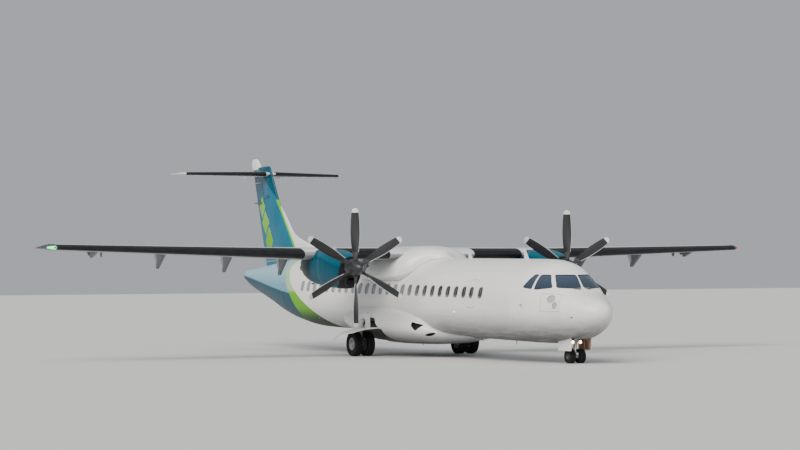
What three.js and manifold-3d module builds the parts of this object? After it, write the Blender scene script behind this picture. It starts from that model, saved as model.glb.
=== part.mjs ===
// Twin-engined turboprop airliner, parked on its landing gear.
// Frame: millimetres, +X forward, +Y to port, +Z up. The origin is on the ground,
// under the middle of the box that holds the aircraft.
// "Station" is the distance aft of the nose tip, so x = NOSE_X - station.
// The aircraft stands a little nose down, so the fuselage line climbs towards the tail.

import * as THREE from "three";
import { mergeVertices } from "three/addons/utils/BufferGeometryUtils.js";
import Module from "manifold-3d";

const wasm = await Module();
wasm.setup();

// Main dimensions
const LENGTH = 27166;
const NOSE_X = LENGTH / 2;
const HALF_SPAN = 13525;
const HEIGHT = 7650;
const SEAT_GAP = 0.3; // between pieces that are fixed to each other
const MOVING_GAP = 8; // around doors and control surfaces
const PIN_GAP = 0.8; // around hinge pins and axles
const FAR = 40000;
const WIDE = 2000; // wider than the fuselage, to each side
const CUT_EXTRA = 100; // how far a cutting solid goes past what it cuts

// Fuselage: each station's half width, crown, widest height and keel, with the
// roundness (2 is an ellipse, more is boxier) of the part above and below the widest height
const FUSELAGE = [
  { station: 0, half: 45, crown: 1610, wide: 1565, keel: 1520, above: 2, below: 2 },
  { station: 70, half: 250, crown: 1778, wide: 1565, keel: 1327, above: 2, below: 2 },
  { station: 240, half: 430, crown: 1906, wide: 1570, keel: 1153, above: 2.05, below: 2.1 },
  { station: 520, half: 620, crown: 2020, wide: 1590, keel: 990, above: 2.1, below: 2.1 },
  { station: 850, half: 787, crown: 2130, wide: 1620, keel: 850, above: 2.2, below: 2.1 },
  { station: 1180, half: 924, crown: 2272, wide: 1650, keel: 751, above: 2.25, below: 2.1 },
  { station: 1500, half: 1007, crown: 2642, wide: 1680, keel: 701, above: 2.1, below: 2.15 },
  { station: 1850, half: 1111, crown: 2917, wide: 1710, keel: 653, above: 2, below: 2.2 },
  { station: 2300, half: 1251, crown: 3120, wide: 1745, keel: 618, above: 2.05, below: 2.2 },
  { station: 2800, half: 1357, crown: 3203, wide: 1775, keel: 600, above: 2.05, below: 2.2 },
  { station: 3400, half: 1432.5, crown: 3231, wide: 1799, keel: 601, above: 2, below: 2.2 },
  { station: 17600, half: 1432.5, crown: 3503, wide: 2070, keel: 873, above: 2, below: 2.2 },
  { station: 19000, half: 1415, crown: 3525, wide: 2105, keel: 915, above: 2, below: 2.2 },
  { station: 20500, half: 1330, crown: 3535, wide: 2195, keel: 1095, above: 2, below: 2.2 },
  { station: 22000, half: 1130, crown: 3500, wide: 2335, keel: 1365, above: 2, below: 2.1 },
  { station: 23500, half: 865, crown: 3390, wide: 2530, keel: 1720, above: 2, below: 2 },
  { station: 25000, half: 590, crown: 3245, wide: 2700, keel: 2070, above: 2, below: 2 },
  { station: 26300, half: 380, crown: 3145, wide: 2820, keel: 2410, above: 2, below: 2 },
  { station: 26900, half: 280, crown: 3115, wide: 2890, keel: 2635, above: 2, below: 2 },
  { station: 27080, half: 205, crown: 3065, wide: 2900, keel: 2715, above: 2, below: 2 },
  { station: 27166, half: 100, crown: 2985, wide: 2900, keel: 2800, above: 2, below: 2 },
];
const FUSELAGE_SIDES = 24;
const FAIRING_SIDES = 20;
const FUSELAGE_PARTS = [
  { name: "radome", front: 0, back: 850 },
  { name: "fuselage_nose", front: 850, back: 3400 },
  { name: "fuselage_forward", front: 3400, back: 9400 },
  { name: "fuselage_centre", front: 9400, back: 14600 },
  { name: "fuselage_rear", front: 14600, back: 21200 },
  { name: "tail_cone", front: 21200, back: LENGTH },
];

// Cockpit windows: a band of glazing let into the skin
const GLAZING = { front: 1150, back: 2700, bottom: 2330, top: 2720, thick: 25 };

// Doors. "side" is 1 for port and -1 for starboard, and a hinged door turns about one long edge
const DOOR_THICK = 60;
const DOOR_HINGE_DEPTH = 12; // from the skin to the hinge line
const DOOR_HINGE_GAP = 32; // along the hinge edge, so that the skin of the open door clears the hull
const DOOR_PIN = 8;
const DOOR_PIN_LENGTH = 24;
const DOOR_BORE_EXTRA = 3; // past the end of the pin
const SLOPE_STEP = 10; // above and below a hinge line, to find how the skin leans there
// Region beyond a hinge edge: to each side of the skin, past the edge, and longer at both ends
const HINGE_REGION = { side: 400, past: 900, longer: 300 };
// Slab that cuts a door out of the hull: past the hinge edge, and through the skin
const DOOR_SLAB = { past: 200, through: 1400 };
const HULL_MARGIN = 500; // of hull used ahead of and behind a door or window
const DOORS = [
  { name: "passenger_door", side: 1, front: 19550, back: 20330, sill: 1330, head: 3020, hinge: "sill" },
  { name: "cargo_door", side: 1, front: 3620, back: 4890, sill: 1230, head: 2700, hinge: "head" },
  { name: "service_door", side: -1, front: 20400, back: 21060, sill: 1500, head: 2790, hinge: "none" },
  { name: "emergency_exit_left", side: 1, front: 5520, back: 6040, sill: 1700, head: 2600, hinge: "none" },
  { name: "emergency_exit_right", side: -1, front: 5520, back: 6040, sill: 1700, head: 2600, hinge: "none" },
];

// Wing: one side, by distance from the centre plane
const WING = [
  { span: 0, lead: 10980, height: 3490, chord: 2570, thick: 0.165 },
  { span: 4800, lead: 10980, height: 3490, chord: 2570, thick: 0.165 },
  { span: 13300, lead: 11735, height: 3730, chord: 1690, thick: 0.12 },
  { span: HALF_SPAN, lead: 11930, height: 3740, chord: 1330, thick: 0.1 },
];
const WING_JOINT = 4800; // the outer panel starts here
const CAMBER = 0.02;
const REGION = { rise: 600, aft: 2000 }; // how far the region of a flap or aileron reaches
const FLAP_FRONT = 0.71; // share of the chord ahead of the flaps
const AILERON_HINGE = 0.76; // share of the chord ahead of the aileron hinge
const FLAP_INBOARD = { from: 1640, to: 3500 };
const FLAP_OUTBOARD = { from: 4600, to: 9600 };
const AILERON = { from: 9760, to: 13150 };
const AILERON_RADIUS = { inner: 58, outer: 44 };
const FLAP_ARMS = [
  { span: 1800, width: 70 },
  { span: 3330, width: 70 },
  { span: 4960, width: 130 },
  { span: 7000, width: 130 },
  { span: 9370, width: 130 },
];
const FLAP_HINGE_DROP = { z: 2860, slope: 0.054, from: 4850 };
const FLAP_PIN = 14;
const FLAP_HINGE_AFT = 40; // behind the front edge of the flap
// Fork under the wing and the arm that turns in it, measured from the flap hinge
const FORK = {
  ahead: 660,
  foot: 90,
  toe: 60,
  behind: 62,
  cheek: 45,
  heel: 190,
  sunk: 60,
  slot: 18,
  slotAhead: 3,
  slotTop: 900,
  wall: 4,
};
const ARM = { ahead: 24, rise: 20, behind: 330, boss: 38, end: 36, drop: 6, half: 12, play: 6, sunk: 20 };
const AILERON_PIN = { radius: 12, length: 20, bore: 24 };
const AILERON_BRACKET = {
  span: 11690,
  width: 90,
  front: 620,
  frontDrop: 60,
  elbow: 330,
  drop: 190,
  foot: 90,
  footDrop: 250,
};

// Hump over the wing joint and the belly fairing that holds the main gear
const TOP_FAIRING = [
  { station: 9300, half: 420, crown: 3390, wide: 3150, keel: 3000 },
  { station: 9800, half: 980, crown: 3520, wide: 3060, keel: 2850 },
  { station: 10400, half: 1370, crown: 3690, wide: 2950, keel: 2680 },
  { station: 11000, half: 1490, crown: 3790, wide: 2900, keel: 2630 },
  { station: 13400, half: 1490, crown: 3800, wide: 2900, keel: 2630 },
  { station: 14300, half: 1330, crown: 3740, wide: 3000, keel: 2760 },
  { station: 15200, half: 900, crown: 3600, wide: 3150, keel: 2950 },
  { station: 15900, half: 400, crown: 3510, wide: 3250, keel: 3100 },
];
const BELLY_FAIRING = [
  { station: 7400, half: 420, crown: 800, wide: 740, keel: 655 },
  { station: 8000, half: 600, crown: 860, wide: 760, keel: 580 },
  { station: 8700, half: 860, crown: 980, wide: 800, keel: 510 },
  { station: 9050, half: 1120, crown: 1110, wide: 870, keel: 480 },
  { station: 9300, half: 1420, crown: 1330, wide: 950, keel: 462 },
  { station: 9600, half: 1630, crown: 1490, wide: 1020, keel: 446 },
  { station: 10400, half: 1820, crown: 1690, wide: 1090, keel: 415 },
  { station: 11500, half: 1890, crown: 1840, wide: 1130, keel: 405 },
  { station: 12900, half: 1900, crown: 1870, wide: 1190, keel: 440 },
  { station: 13700, half: 1890, crown: 1840, wide: 1250, keel: 560 },
  { station: 14200, half: 1850, crown: 1760, wide: 1310, keel: 740 },
  { station: 14500, half: 1720, crown: 1690, wide: 1370, keel: 910 },
  { station: 14680, half: 1490, crown: 1570, wide: 1400, keel: 1060 },
];
const GEAR_WELL = { front: 11300, back: 13280, inner: 700, outer: 2500, roof: 1480 };

// Engines and propellers
const ENGINE_SPAN = 4050;
const SHAFT_HEIGHT = 3020;
const SHAFT_RADIUS = 70;
const NACELLE = [
  { station: 9020, half: 312, crown: 3355, wide: 3020, keel: 2420, above: 2, below: 2 },
  { station: 9130, half: 375, crown: 3430, wide: 3010, keel: 2360, above: 2.05, below: 2.2 },
  { station: 9480, half: 440, crown: 3540, wide: 3010, keel: 2340, above: 2.7, below: 2.3 },
  { station: 10300, half: 480, crown: 3650, wide: 3040, keel: 2370, above: 4, below: 2.3 },
  { station: 11400, half: 475, crown: 3660, wide: 3080, keel: 2480, above: 4, below: 2.3 },
  { station: 12000, half: 400, crown: 3620, wide: 3110, keel: 2600, above: 3.6, below: 2.2 },
  { station: 12500, half: 245, crown: 3500, wide: 3170, keel: 2745, above: 2.6, below: 2.1 },
  { station: 12850, half: 110, crown: 3370, wide: 3230, keel: 2930, above: 2, below: 2 },
];
const NACELLE_SIDES = 16;
const ROUND_SIDES = 24;
const ENGINE = { front: 9120, length: 2130, radius: 330, height: 2945 };
const EXHAUST = { front: 12000, back: 12780, out: 60, height: 3060, radius: 120 };
const SPINNER = { tip: 8310, back: 9005, radius: 300, taper: 0.62 };
const SPINNER_SIDES = 18;
const SPINNER_STEPS = [25, 110, 220]; // stations behind the tip
const BLADE_STATION = 8760;
const SPLIT_FRONT = BLADE_STATION - 150; // the spinner ends here and the hub begins
const SPLIT_BACK = BLADE_STATION + 150;
const BLADE_RADIUS = 1965;
const BLADE_COUNT = 6;
const BLADES = [
  { radius: 200, chord: 130, thick: 90, pitch: 62 },
  { radius: 560, chord: 250, thick: 46, pitch: 50 },
  { radius: 1150, chord: 320, thick: 30, pitch: 35 },
  { radius: 1700, chord: 270, thick: 20, pitch: 26 },
  { radius: BLADE_RADIUS, chord: 130, thick: 12, pitch: 22 },
];
// Blade section, as shares of the chord and the thickness
const BLADE_OUTLINE = [
  { along: -0.5, up: 0 },
  { along: -0.2, up: 0.5 },
  { along: 0.2, up: 0.42 },
  { along: 0.5, up: 0.06 },
  { along: 0.5, up: -0.06 },
  { along: 0, up: -0.4 },
];

// Tail
const FIN = [
  { height: 3100, lead: 21460, trail: 25180, thick: 0.09 },
  { height: 3940, lead: 22290, trail: 25460, thick: 0.1 },
  { height: 5860, lead: 24000, trail: 26090, thick: 0.11 },
  { height: 6750, lead: 24560, trail: 26390, thick: 0.12 },
  { height: 7250, lead: 24860, trail: 26555, thick: 0.11 },
];
const DORSAL_FIN = [
  { station: 18000, height: 3500 },
  { station: 19400, height: 3700 },
  { station: 20600, height: 3920 },
  { station: 21300, height: 4110 },
  { station: 22050, height: 4310 },
  { station: 22500, height: 4490 },
  { station: 23050, height: 4990 },
  { station: 23800, height: 5620 },
];
const DORSAL_THICK = 110;
const DORSAL_BASE = 3000; // inside the fuselage
const RUDDER_FOOT = { station: 24250, height: 3460, radius: 102 };
const RUDDER_HEAD = { station: 25550, height: 6600, radius: 87 };
const RUDDER_END_GAP = 30; // the hinge line leans, so the rudder's ends rise and fall as it turns
const RUDDER_PIN = { radius: 14, length: 45, bore: 48 };
const TAILPLANE_HEIGHT = 6930;
const TAILPLANE = [
  { span: 0, lead: 24720, chord: 1880, thick: 0.11 },
  { span: 3360, lead: 25460, chord: 1150, thick: 0.11 },
  { span: 3655, lead: 25680, chord: 870, thick: 0.09 },
];
const ELEVATOR = { from: 290, to: 3340, hinge: 26080, inner: 42, outer: 30 };
const ELEVATOR_PIN = { radius: 10, length: 20, bore: 24 };
const ELEVATOR_REGION = { aft: 2000, bottom: 6000, top: 8000 };
const RUDDER_REGION = { half: 900, aft: 3000, nose: 400 };
const RUDDER_COVE = 1.09; // the cove's depth as a share of the rudder's nose radius
const BEACON_THICK = 90;
// Beacon and its stalk, seen from the side
const BEACON = [
  { station: 26160, height: 7200 },
  { station: 26220, height: HEIGHT - 60 },
  { station: 26310, height: HEIGHT },
  { station: 26500, height: HEIGHT },
  { station: 26560, height: HEIGHT - 60 },
  { station: 26440, height: HEIGHT - 160 },
  { station: 26400, height: 7200 },
];

// Landing gear
const WHEEL_SIDES = 20;
const FLAT = Math.cos(Math.PI / WHEEL_SIDES); // a wheel stands on one of its flats
const NOSE_GEAR = { station: 1720, apart: 180, radius: 225, width: 175, rim: 95 };
const MAIN_GEAR = { station: 12500, span: 2055, apart: 232, radius: 432, width: 254, rim: 210 };
const MAIN_LEG = { hip: 950, shoulder: 1190, leg: 72, arm: 80, strut: 42, boss: 92, bossHalf: 80 };
const MAIN_ARM = { ahead: 40, rise: 130 }; // inner end of the arm, from the shoulder
const MAIN_STRUT = { aft: 90, drop: 170, topAft: 40, topDrop: 60 }; // ends of the strut, from the shoulder
// One half of a wheel's section, as shares of the rim's radius and the tyre's half width
const WHEEL_DISC = [
  { out: 0, across: -0.45 },
  { out: 0.75, across: -0.4 },
  { out: 1, across: -0.75 },
];
const WHEEL_BULGE = 0.5; // share of the way from the rim to the tread
const TYRE_SHOULDER = 0.6; // shares of the tyre's half width
const TYRE_BEAD = 0.8;
const AXLE_SHARE = 0.2; // of the rim's radius
const MAIN_DOOR = {
  front: 11560,
  middle: 12760,
  back: 13100,
  thick: 30,
  corner: 0.45, // how far the middle section has gone from the front shape to the back one
  panel: { front: 11500, back: 12700, span: 1905, bottom: 960, top: 1450 },
};
// Opening in the door's panel for the arm and the strut, from the shoulder
const ARM_HOLE = { ahead: 150, behind: 160, below: 170, above: 130 };
const MAIN_DOOR_CURVE = [
  { span: 1400, front: 975, back: 975 },
  { span: 1800, front: 1000, back: 985 },
  { span: 2150, front: 985, back: 915 },
  { span: 2500, front: 935, back: 785 },
  { span: 2820, front: 845, back: 590 },
];
const NOSE_BAY = { front: 1200, back: 2280, half: 372.5, roof: 1150 };
const NOSE_DOOR = { front: 1350, back: 2100, bottom: 390, top: 860, thick: 20 };
const TOW_LUG = { reach: 140, half: 40, bottom: 265, top: 335 };
const STEERING_HEIGHT = 560; // the turning part of the nose leg starts under this
const STEERING_PIN = { radius: 34, length: 110, socket: 120, sunk: 60, sides: 32 };
const NOSE_LEG = { upper: 62, lower: 50, boss: 60, bossHalf: 70 };
const NOSE_BRACE = { ahead: 60, drop: 90, foot: 760, radius: 32 };
const NOSE_DOOR_CORNER = 60;

// Paint and materials
const paint = (color, roughness, metalness) => {
  return new THREE.MeshStandardMaterial({ color, roughness, metalness });
};
const WHITE = paint(0xeef0ef, 0.35, 0);
const TEAL = paint(0x0f7f86, 0.35, 0);
const CHARCOAL = paint(0x2b2e31, 0.5, 0.1);
const GREY = paint(0xa9adb0, 0.5, 0.1);
const STEEL = paint(0xb8babc, 0.4, 0.8);
const RUBBER = paint(0x17181a, 0.85, 0);
const GLASS = paint(0x11161a, 0.1, 0);

const aircraft = new THREE.Group();

// Shape helpers: geometry to solid and back, and the few forms that everything is made of

function toSolid(geometry) {
  const bare = geometry.index ? geometry.toNonIndexed() : geometry.clone();
  bare.deleteAttribute("normal");
  bare.deleteAttribute("uv");
  const merged = mergeVertices(bare, 1e-3);
  const points = merged.attributes.position.array;
  const faces = merged.index.array;
  let volume = 0;
  const a = new THREE.Vector3();
  const b = new THREE.Vector3();
  const c = new THREE.Vector3();
  for (let i = 0; i < faces.length; i += 3) {
    a.fromArray(points, 3 * faces[i]);
    b.fromArray(points, 3 * faces[i + 1]);
    c.fromArray(points, 3 * faces[i + 2]);
    volume += a.dot(b.cross(c));
  }
  const triVerts = new Uint32Array(faces);
  if (volume < 0) {
    triVerts.reverse();
  }
  return new wasm.Manifold(new wasm.Mesh({ numProp: 3, vertProperties: points, triVerts }));
}

function toGeometry(solid) {
  const mesh = solid.getMesh();
  const geometry = new THREE.BufferGeometry();
  geometry.setAttribute("position", new THREE.BufferAttribute(mesh.vertProperties, 3));
  geometry.setIndex(new THREE.BufferAttribute(mesh.triVerts, 1));
  return geometry;
}

function largest(solid) {
  const bodies = solid.decompose();
  bodies.sort((one, other) => other.volume() - one.volume());
  return bodies[0];
}

function mirrored(solid) {
  return toSolid(toGeometry(solid).scale(1, -1, 1));
}

function point(station, y, z) {
  return new THREE.Vector3(NOSE_X - station, y, z);
}

// Triangles that close a flat ring, turning the same way as its points
function capFaces(ring) {
  const normal = new THREE.Vector3();
  ring.forEach((p, i) => {
    const next = ring[(i + 1) % ring.length];
    normal.add(new THREE.Vector3().crossVectors(p, next));
  });
  const size = normal.toArray().map(Math.abs);
  const away = size.indexOf(Math.max(...size));
  const [u, v] = [0, 1, 2].filter((axis) => axis !== away);
  const flat = ring.map((p) => new THREE.Vector2(p.getComponent(u), p.getComponent(v)));
  const faces = THREE.ShapeUtils.triangulateShape(flat, []);
  const first = faces[0].map((i) => flat[i]);
  const same = THREE.ShapeUtils.area(first) > 0 === THREE.ShapeUtils.area(flat) > 0;
  return same ? faces : faces.map(([a, b, c]) => [a, c, b]);
}

// Skins a closed solid over rings of points that all have the same count
function loft(rings) {
  const count = rings[0].length;
  const positions = rings.flat().flatMap((p) => [p.x, p.y, p.z]);
  const faces = [];
  for (let ring = 0; ring + 1 < rings.length; ring++) {
    for (let k = 0; k < count; k++) {
      const here = ring * count + k;
      const next = ring * count + ((k + 1) % count);
      faces.push(here, next, here + count);
      faces.push(next, next + count, here + count);
    }
  }
  const last = (rings.length - 1) * count;
  for (const [a, b, c] of capFaces(rings[0])) {
    faces.push(a, c, b);
  }
  for (const [a, b, c] of capFaces(rings.at(-1))) {
    faces.push(last + a, last + b, last + c);
  }
  const geometry = new THREE.BufferGeometry();
  geometry.setAttribute("position", new THREE.Float32BufferAttribute(positions, 3));
  geometry.setIndex(faces);
  return toSolid(geometry);
}

// A block between two stations, two spans and two heights
function block(front, back, y0, y1, z0, z1) {
  const geometry = new THREE.BoxGeometry(back - front, y1 - y0, z1 - z0);
  geometry.translate(NOSE_X - (front + back) / 2, (y0 + y1) / 2, (z0 + z1) / 2);
  return toSolid(geometry);
}

// A round bar from one point to another, tapered if the end radii differ
function rod(from, to, radius, endRadius = radius, sides = 12) {
  const along = to.clone().sub(from);
  const geometry = new THREE.CylinderGeometry(endRadius, radius, along.length(), sides);
  const turn = new THREE.Quaternion();
  turn.setFromUnitVectors(new THREE.Vector3(0, 1, 0), along.clone().normalize());
  geometry.applyQuaternion(turn);
  const middle = from.clone().add(to).multiplyScalar(0.5);
  geometry.translate(middle.x, middle.y, middle.z);
  return toSolid(geometry);
}

// A flat plate: an outline of stations and heights, with its thickness across the aircraft
function plate(outline, y, thick) {
  const shape = new THREE.Shape(outline.map((p) => new THREE.Vector2(NOSE_X - p.station, p.height)));
  const geometry = new THREE.ExtrudeGeometry(shape, { depth: thick, bevelEnabled: false });
  geometry.rotateX(Math.PI / 2);
  geometry.translate(0, y + thick / 2, 0);
  return toSolid(geometry);
}

// Straight-line value between the rows of a table
function between(rows, key, where, column) {
  const last = rows.length - 1;
  let i = 0;
  while (i < last - 1 && rows[i + 1][key] < where) {
    i += 1;
  }
  const share = (where - rows[i][key]) / (rows[i + 1][key] - rows[i][key]);
  return rows[i][column] + share * (rows[i + 1][column] - rows[i][column]);
}

// A closed outline across the aircraft, made of an upper and a lower half oval
function oval(row, sides, inset = 0, middle = 0) {
  const { station, half, crown, wide, keel, above = 2.3, below = 2.3 } = row;
  const ring = [];
  for (let k = 0; k < sides; k++) {
    const angle = (2 * Math.PI * k) / sides;
    const across = Math.cos(angle);
    const up = Math.sin(angle);
    const power = 2 / (up >= 0 ? above : below);
    const tall = up >= 0 ? crown - wide : wide - keel;
    const y = Math.sign(across) * (half - inset) * Math.abs(across) ** power;
    const z = wide + Math.sign(up) * (tall - inset) * Math.abs(up) ** power;
    ring.push(point(station, middle + y, z));
  }
  return ring;
}

// Fuselage

function fuselageRow(station) {
  const row = { station };
  for (const column of ["half", "crown", "wide", "keel", "above", "below"]) {
    row[column] = between(FUSELAGE, "station", station, column);
  }
  return row;
}

function fuselageBody(front, back, inset = 0) {
  const inside = FUSELAGE.map((row) => row.station).filter((s) => s > front && s < back);
  const stations = [front, ...inside, back];
  return loft(stations.map((s) => oval(fuselageRow(s), FUSELAGE_SIDES, inset)));
}

// Distance from the centre plane to the skin at a station and height
function skinSpan(station, height) {
  const row = fuselageRow(station);
  const above = height > row.wide;
  const tall = above ? row.crown - row.wide : row.wide - row.keel;
  const power = above ? row.above : row.below;
  const share = Math.min(1, Math.abs(height - row.wide) / tall);
  return row.half * (1 - share ** power) ** (1 / power);
}

// A door's hinge line, just inside the skin, and the direction out through the skin there
function doorHinge(door) {
  const height = door.hinge === "head" ? door.head : door.sill;
  const ends = [door.front, door.back].map((station) => {
    const slope = skinSpan(station, height + SLOPE_STEP) - skinSpan(station, height - SLOPE_STEP);
    const out = new THREE.Vector3(0, door.side * 2 * SLOPE_STEP, -slope).normalize();
    const skin = point(station, door.side * skinSpan(station, height), height);
    return { out, place: skin.addScaledVector(out, -DOOR_HINGE_DEPTH) };
  });
  const along = ends[0].place.clone().sub(ends[1].place).normalize();
  return { front: ends[0].place, back: ends[1].place, out: ends[0].out, along };
}

// The hinge line made longer at both ends
function hingeRod(door, extra, radius) {
  const { front, back, along } = doorHinge(door);
  const from = front.clone().addScaledVector(along, extra);
  const to = back.clone().addScaledVector(along, -extra);
  return rod(from, to, radius);
}

// Everything beyond the hinge edge of a door, from a distance past the hinge line
function beyondHinge(door, past) {
  const { front, back, out, along } = doorHinge(door);
  const away = new THREE.Vector3().crossVectors(out, along).normalize();
  away.multiplyScalar(Math.sign(away.z) * (door.hinge === "sill" ? -1 : 1));
  const corner = (end, outward, beyond) => {
    return end.clone().addScaledVector(out, outward).addScaledVector(away, beyond);
  };
  const ring = (end) => [
    corner(end, HINGE_REGION.side, past),
    corner(end, -HINGE_REGION.side, past),
    corner(end, -HINGE_REGION.side, past + HINGE_REGION.past),
    corner(end, HINGE_REGION.side, past + HINGE_REGION.past),
  ];
  const before = front.clone().addScaledVector(along, HINGE_REGION.longer);
  const after = back.clone().addScaledVector(along, -HINGE_REGION.longer);
  return loft([ring(before), ring(after)]);
}

// The piece of skin inside a door's outline, grown by a gap, between two depths
function skinPatch(door, grow, outset, depth) {
  const { front, back, along } = doorHinge(door);
  const hinged = door.hinge !== "none";
  const extra = hinged ? DOOR_SLAB.past : grow;
  const low = door.sill - (door.hinge === "sill" ? extra : grow);
  const high = door.head + (door.hinge === "head" ? extra : grow);
  const width = front.distanceTo(back) + 2 * grow;
  const slab = new THREE.BoxGeometry(width, DOOR_SLAB.through, high - low);
  slab.rotateZ(Math.atan2(along.y, along.x));
  const middle = front.clone().add(back).multiplyScalar(0.5);
  slab.translate(middle.x, middle.y, (low + high) / 2);
  const outer = fuselageBody(door.front - HULL_MARGIN, door.back + HULL_MARGIN, -outset);
  const further = HULL_MARGIN + CUT_EXTRA;
  const inner = fuselageBody(door.front - further, door.back + further, depth);
  const patch = outer.intersect(toSolid(slab)).subtract(inner);
  return hinged ? patch.subtract(beyondHinge(door, grow > 0 ? DOOR_HINGE_GAP : 0)) : patch;
}

function makeDoor(door) {
  const panel = largest(skinPatch(door, 0, 0, DOOR_THICK));
  if (door.hinge === "none") {
    return panel;
  }
  return panel.add(hingeRod(door, 0, DOOR_HINGE_DEPTH)).add(hingeRod(door, DOOR_PIN_LENGTH, DOOR_PIN));
}

function doorPocket(door) {
  if (door.hinge === "none") {
    return skinPatch(door, SEAT_GAP, CUT_EXTRA, DOOR_THICK + SEAT_GAP);
  }
  const pocket = skinPatch(door, MOVING_GAP, CUT_EXTRA, DOOR_THICK + MOVING_GAP);
  return pocket.add(hingeRod(door, DOOR_PIN_LENGTH + DOOR_BORE_EXTRA, DOOR_PIN + PIN_GAP));
}

// Wing

// Wing or tail section, as distances aft and up, grown on every side by a gap
function foilOutline({ chord, thick, camber = 0 }, grow = 0) {
  const shares = [1, 0.7, 0.45, 0.22, 0.07, 0.015];
  const stretch = 1 + (2 * grow) / (thick * chord);
  const half = (x) => {
    const curve = 0.2969 * Math.sqrt(x) - 0.126 * x - 0.3516 * x ** 2 + 0.2843 * x ** 3 - 0.1015 * x ** 4;
    return 5 * thick * curve;
  };
  const arch = (x) => 4 * camber * x * (1 - x);
  const place = (x, side) => ({
    aft: x * chord + (2 * x - 1) * grow,
    up: (arch(x) + side * half(x)) * chord * stretch,
  });
  const upper = shares.map((x) => place(x, 1));
  const lower = shares.map((x) => place(x, -1));
  return [...upper, place(0, 1), ...lower.reverse()];
}

function wingAt(span) {
  const row = { camber: CAMBER };
  for (const column of ["lead", "height", "chord", "thick"]) {
    row[column] = between(WING, "span", span, column);
  }
  return row;
}

function wingRing(span, grow = 0) {
  const row = wingAt(span);
  return foilOutline(row, grow).map((p) => point(row.lead + p.aft, span, row.height + p.up));
}

function wingBody(from, to, grow = 0) {
  const inside = WING.map((row) => row.span).filter((s) => s > from && s < to);
  return loft([from, ...inside, to].map((span) => wingRing(span, grow)));
}

// A region of the wing behind a share of the chord, from one span to another
function trailingRegion(from, to, share, ahead) {
  const ring = (span) => {
    const { lead, height, chord } = wingAt(span);
    const front = lead + share * chord - ahead;
    return [
      point(front, span, height - REGION.rise),
      point(front, span, height + REGION.rise),
      point(front + REGION.aft, span, height + REGION.rise),
      point(front + REGION.aft, span, height - REGION.rise),
    ];
  };
  return loft([ring(from), ring(to)]);
}

function flapHinge(span) {
  const { lead, chord } = wingAt(span);
  const rise = Math.max(0, span - FLAP_HINGE_DROP.from) * FLAP_HINGE_DROP.slope;
  return point(lead + FLAP_FRONT * chord + FLAP_HINGE_AFT, span, FLAP_HINGE_DROP.z + rise);
}

// A round piece on the flap's hinge line, by its half length
function flapPin(span, half, radius) {
  const sloped = span > WING_JOINT;
  const outer = flapHinge(FLAP_OUTBOARD.to);
  const along = sloped ? outer.sub(flapHinge(FLAP_HINGE_DROP.from)).normalize() : new THREE.Vector3(0, 1, 0);
  const centre = flapHinge(span);
  const from = centre.clone().addScaledVector(along, -half);
  const to = centre.clone().addScaledVector(along, half);
  return rod(from, to, radius);
}

// Fixed fork under the wing that carries one flap hinge
function flapFork(arm) {
  const hinge = flapHinge(arm.span);
  const station = NOSE_X - hinge.x;
  const under = wingAt(arm.span).height - FORK.sunk;
  const outline = [
    { station: station - FORK.ahead, height: under - FORK.foot },
    { station: station - FORK.toe, height: hinge.z - FORK.toe },
    { station: station + FORK.behind, height: hinge.z - FORK.cheek },
    { station: station + FORK.behind, height: hinge.z + FORK.cheek },
    { station: station - FORK.behind, height: hinge.z + FORK.heel },
    { station: station - FORK.behind, height: under },
    { station: station - FORK.ahead, height: under },
  ];
  const slot = block(
    station - FORK.behind - FORK.slotAhead,
    station + FORK.ahead,
    arm.span - FORK.slot,
    arm.span + FORK.slot,
    hinge.z - FORK.ahead,
    hinge.z + FORK.slotTop,
  );
  const bore = flapPin(arm.span, arm.width / 2 - FORK.wall, FLAP_PIN + PIN_GAP);
  return plate(outline, arm.span, arm.width).subtract(slot).subtract(bore);
}

// Arm on the flap that turns in the fork
function flapArm(arm) {
  const hinge = flapHinge(arm.span);
  const station = NOSE_X - hinge.x;
  const under = wingAt(arm.span).height - ARM.sunk;
  const outline = [
    { station: station - ARM.ahead, height: hinge.z + ARM.rise },
    { station: station - ARM.ahead, height: under },
    { station: station + ARM.behind, height: under },
    { station: station + ARM.end, height: hinge.z - ARM.drop },
  ];
  return plate(outline, arm.span, 2 * ARM.half)
    .add(flapPin(arm.span, ARM.half, ARM.boss))
    .add(flapPin(arm.span, arm.width / 2 - ARM.play, FLAP_PIN));
}

function makeFlap(range) {
  const body = wingBody(range.from - CUT_EXTRA, range.to + CUT_EXTRA);
  const region = trailingRegion(range.from, range.to, FLAP_FRONT, 0);
  let flap = body.intersect(region);
  for (const arm of FLAP_ARMS.filter((a) => a.span > range.from && a.span < range.to)) {
    flap = flap.add(flapArm(arm));
  }
  return flap;
}

function wingHinge(span, share) {
  const { lead, height, chord, camber } = wingAt(span);
  const arch = 4 * camber * share * (1 - share) * chord;
  return point(lead + share * chord, span, height + arch);
}

function makeAileron() {
  const inner = wingHinge(AILERON.from, AILERON_HINGE);
  const outer = wingHinge(AILERON.to, AILERON_HINGE);
  const body = wingBody(AILERON.from - CUT_EXTRA, AILERON.to + CUT_EXTRA);
  const region = trailingRegion(AILERON.from, AILERON.to, AILERON_HINGE, 0);
  const nose = rod(inner, outer, AILERON_RADIUS.inner, AILERON_RADIUS.outer);
  return body.intersect(region).add(nose).add(endPins(inner, outer, AILERON_PIN.radius, AILERON_PIN.length));
}

// Short pins that stick out of both ends of a hinge line
function endPins(from, to, radius, length) {
  const along = to.clone().sub(from).normalize();
  const start = from.clone().addScaledVector(along, -length);
  const end = to.clone().addScaledVector(along, length);
  return rod(start, end, radius);
}

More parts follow.
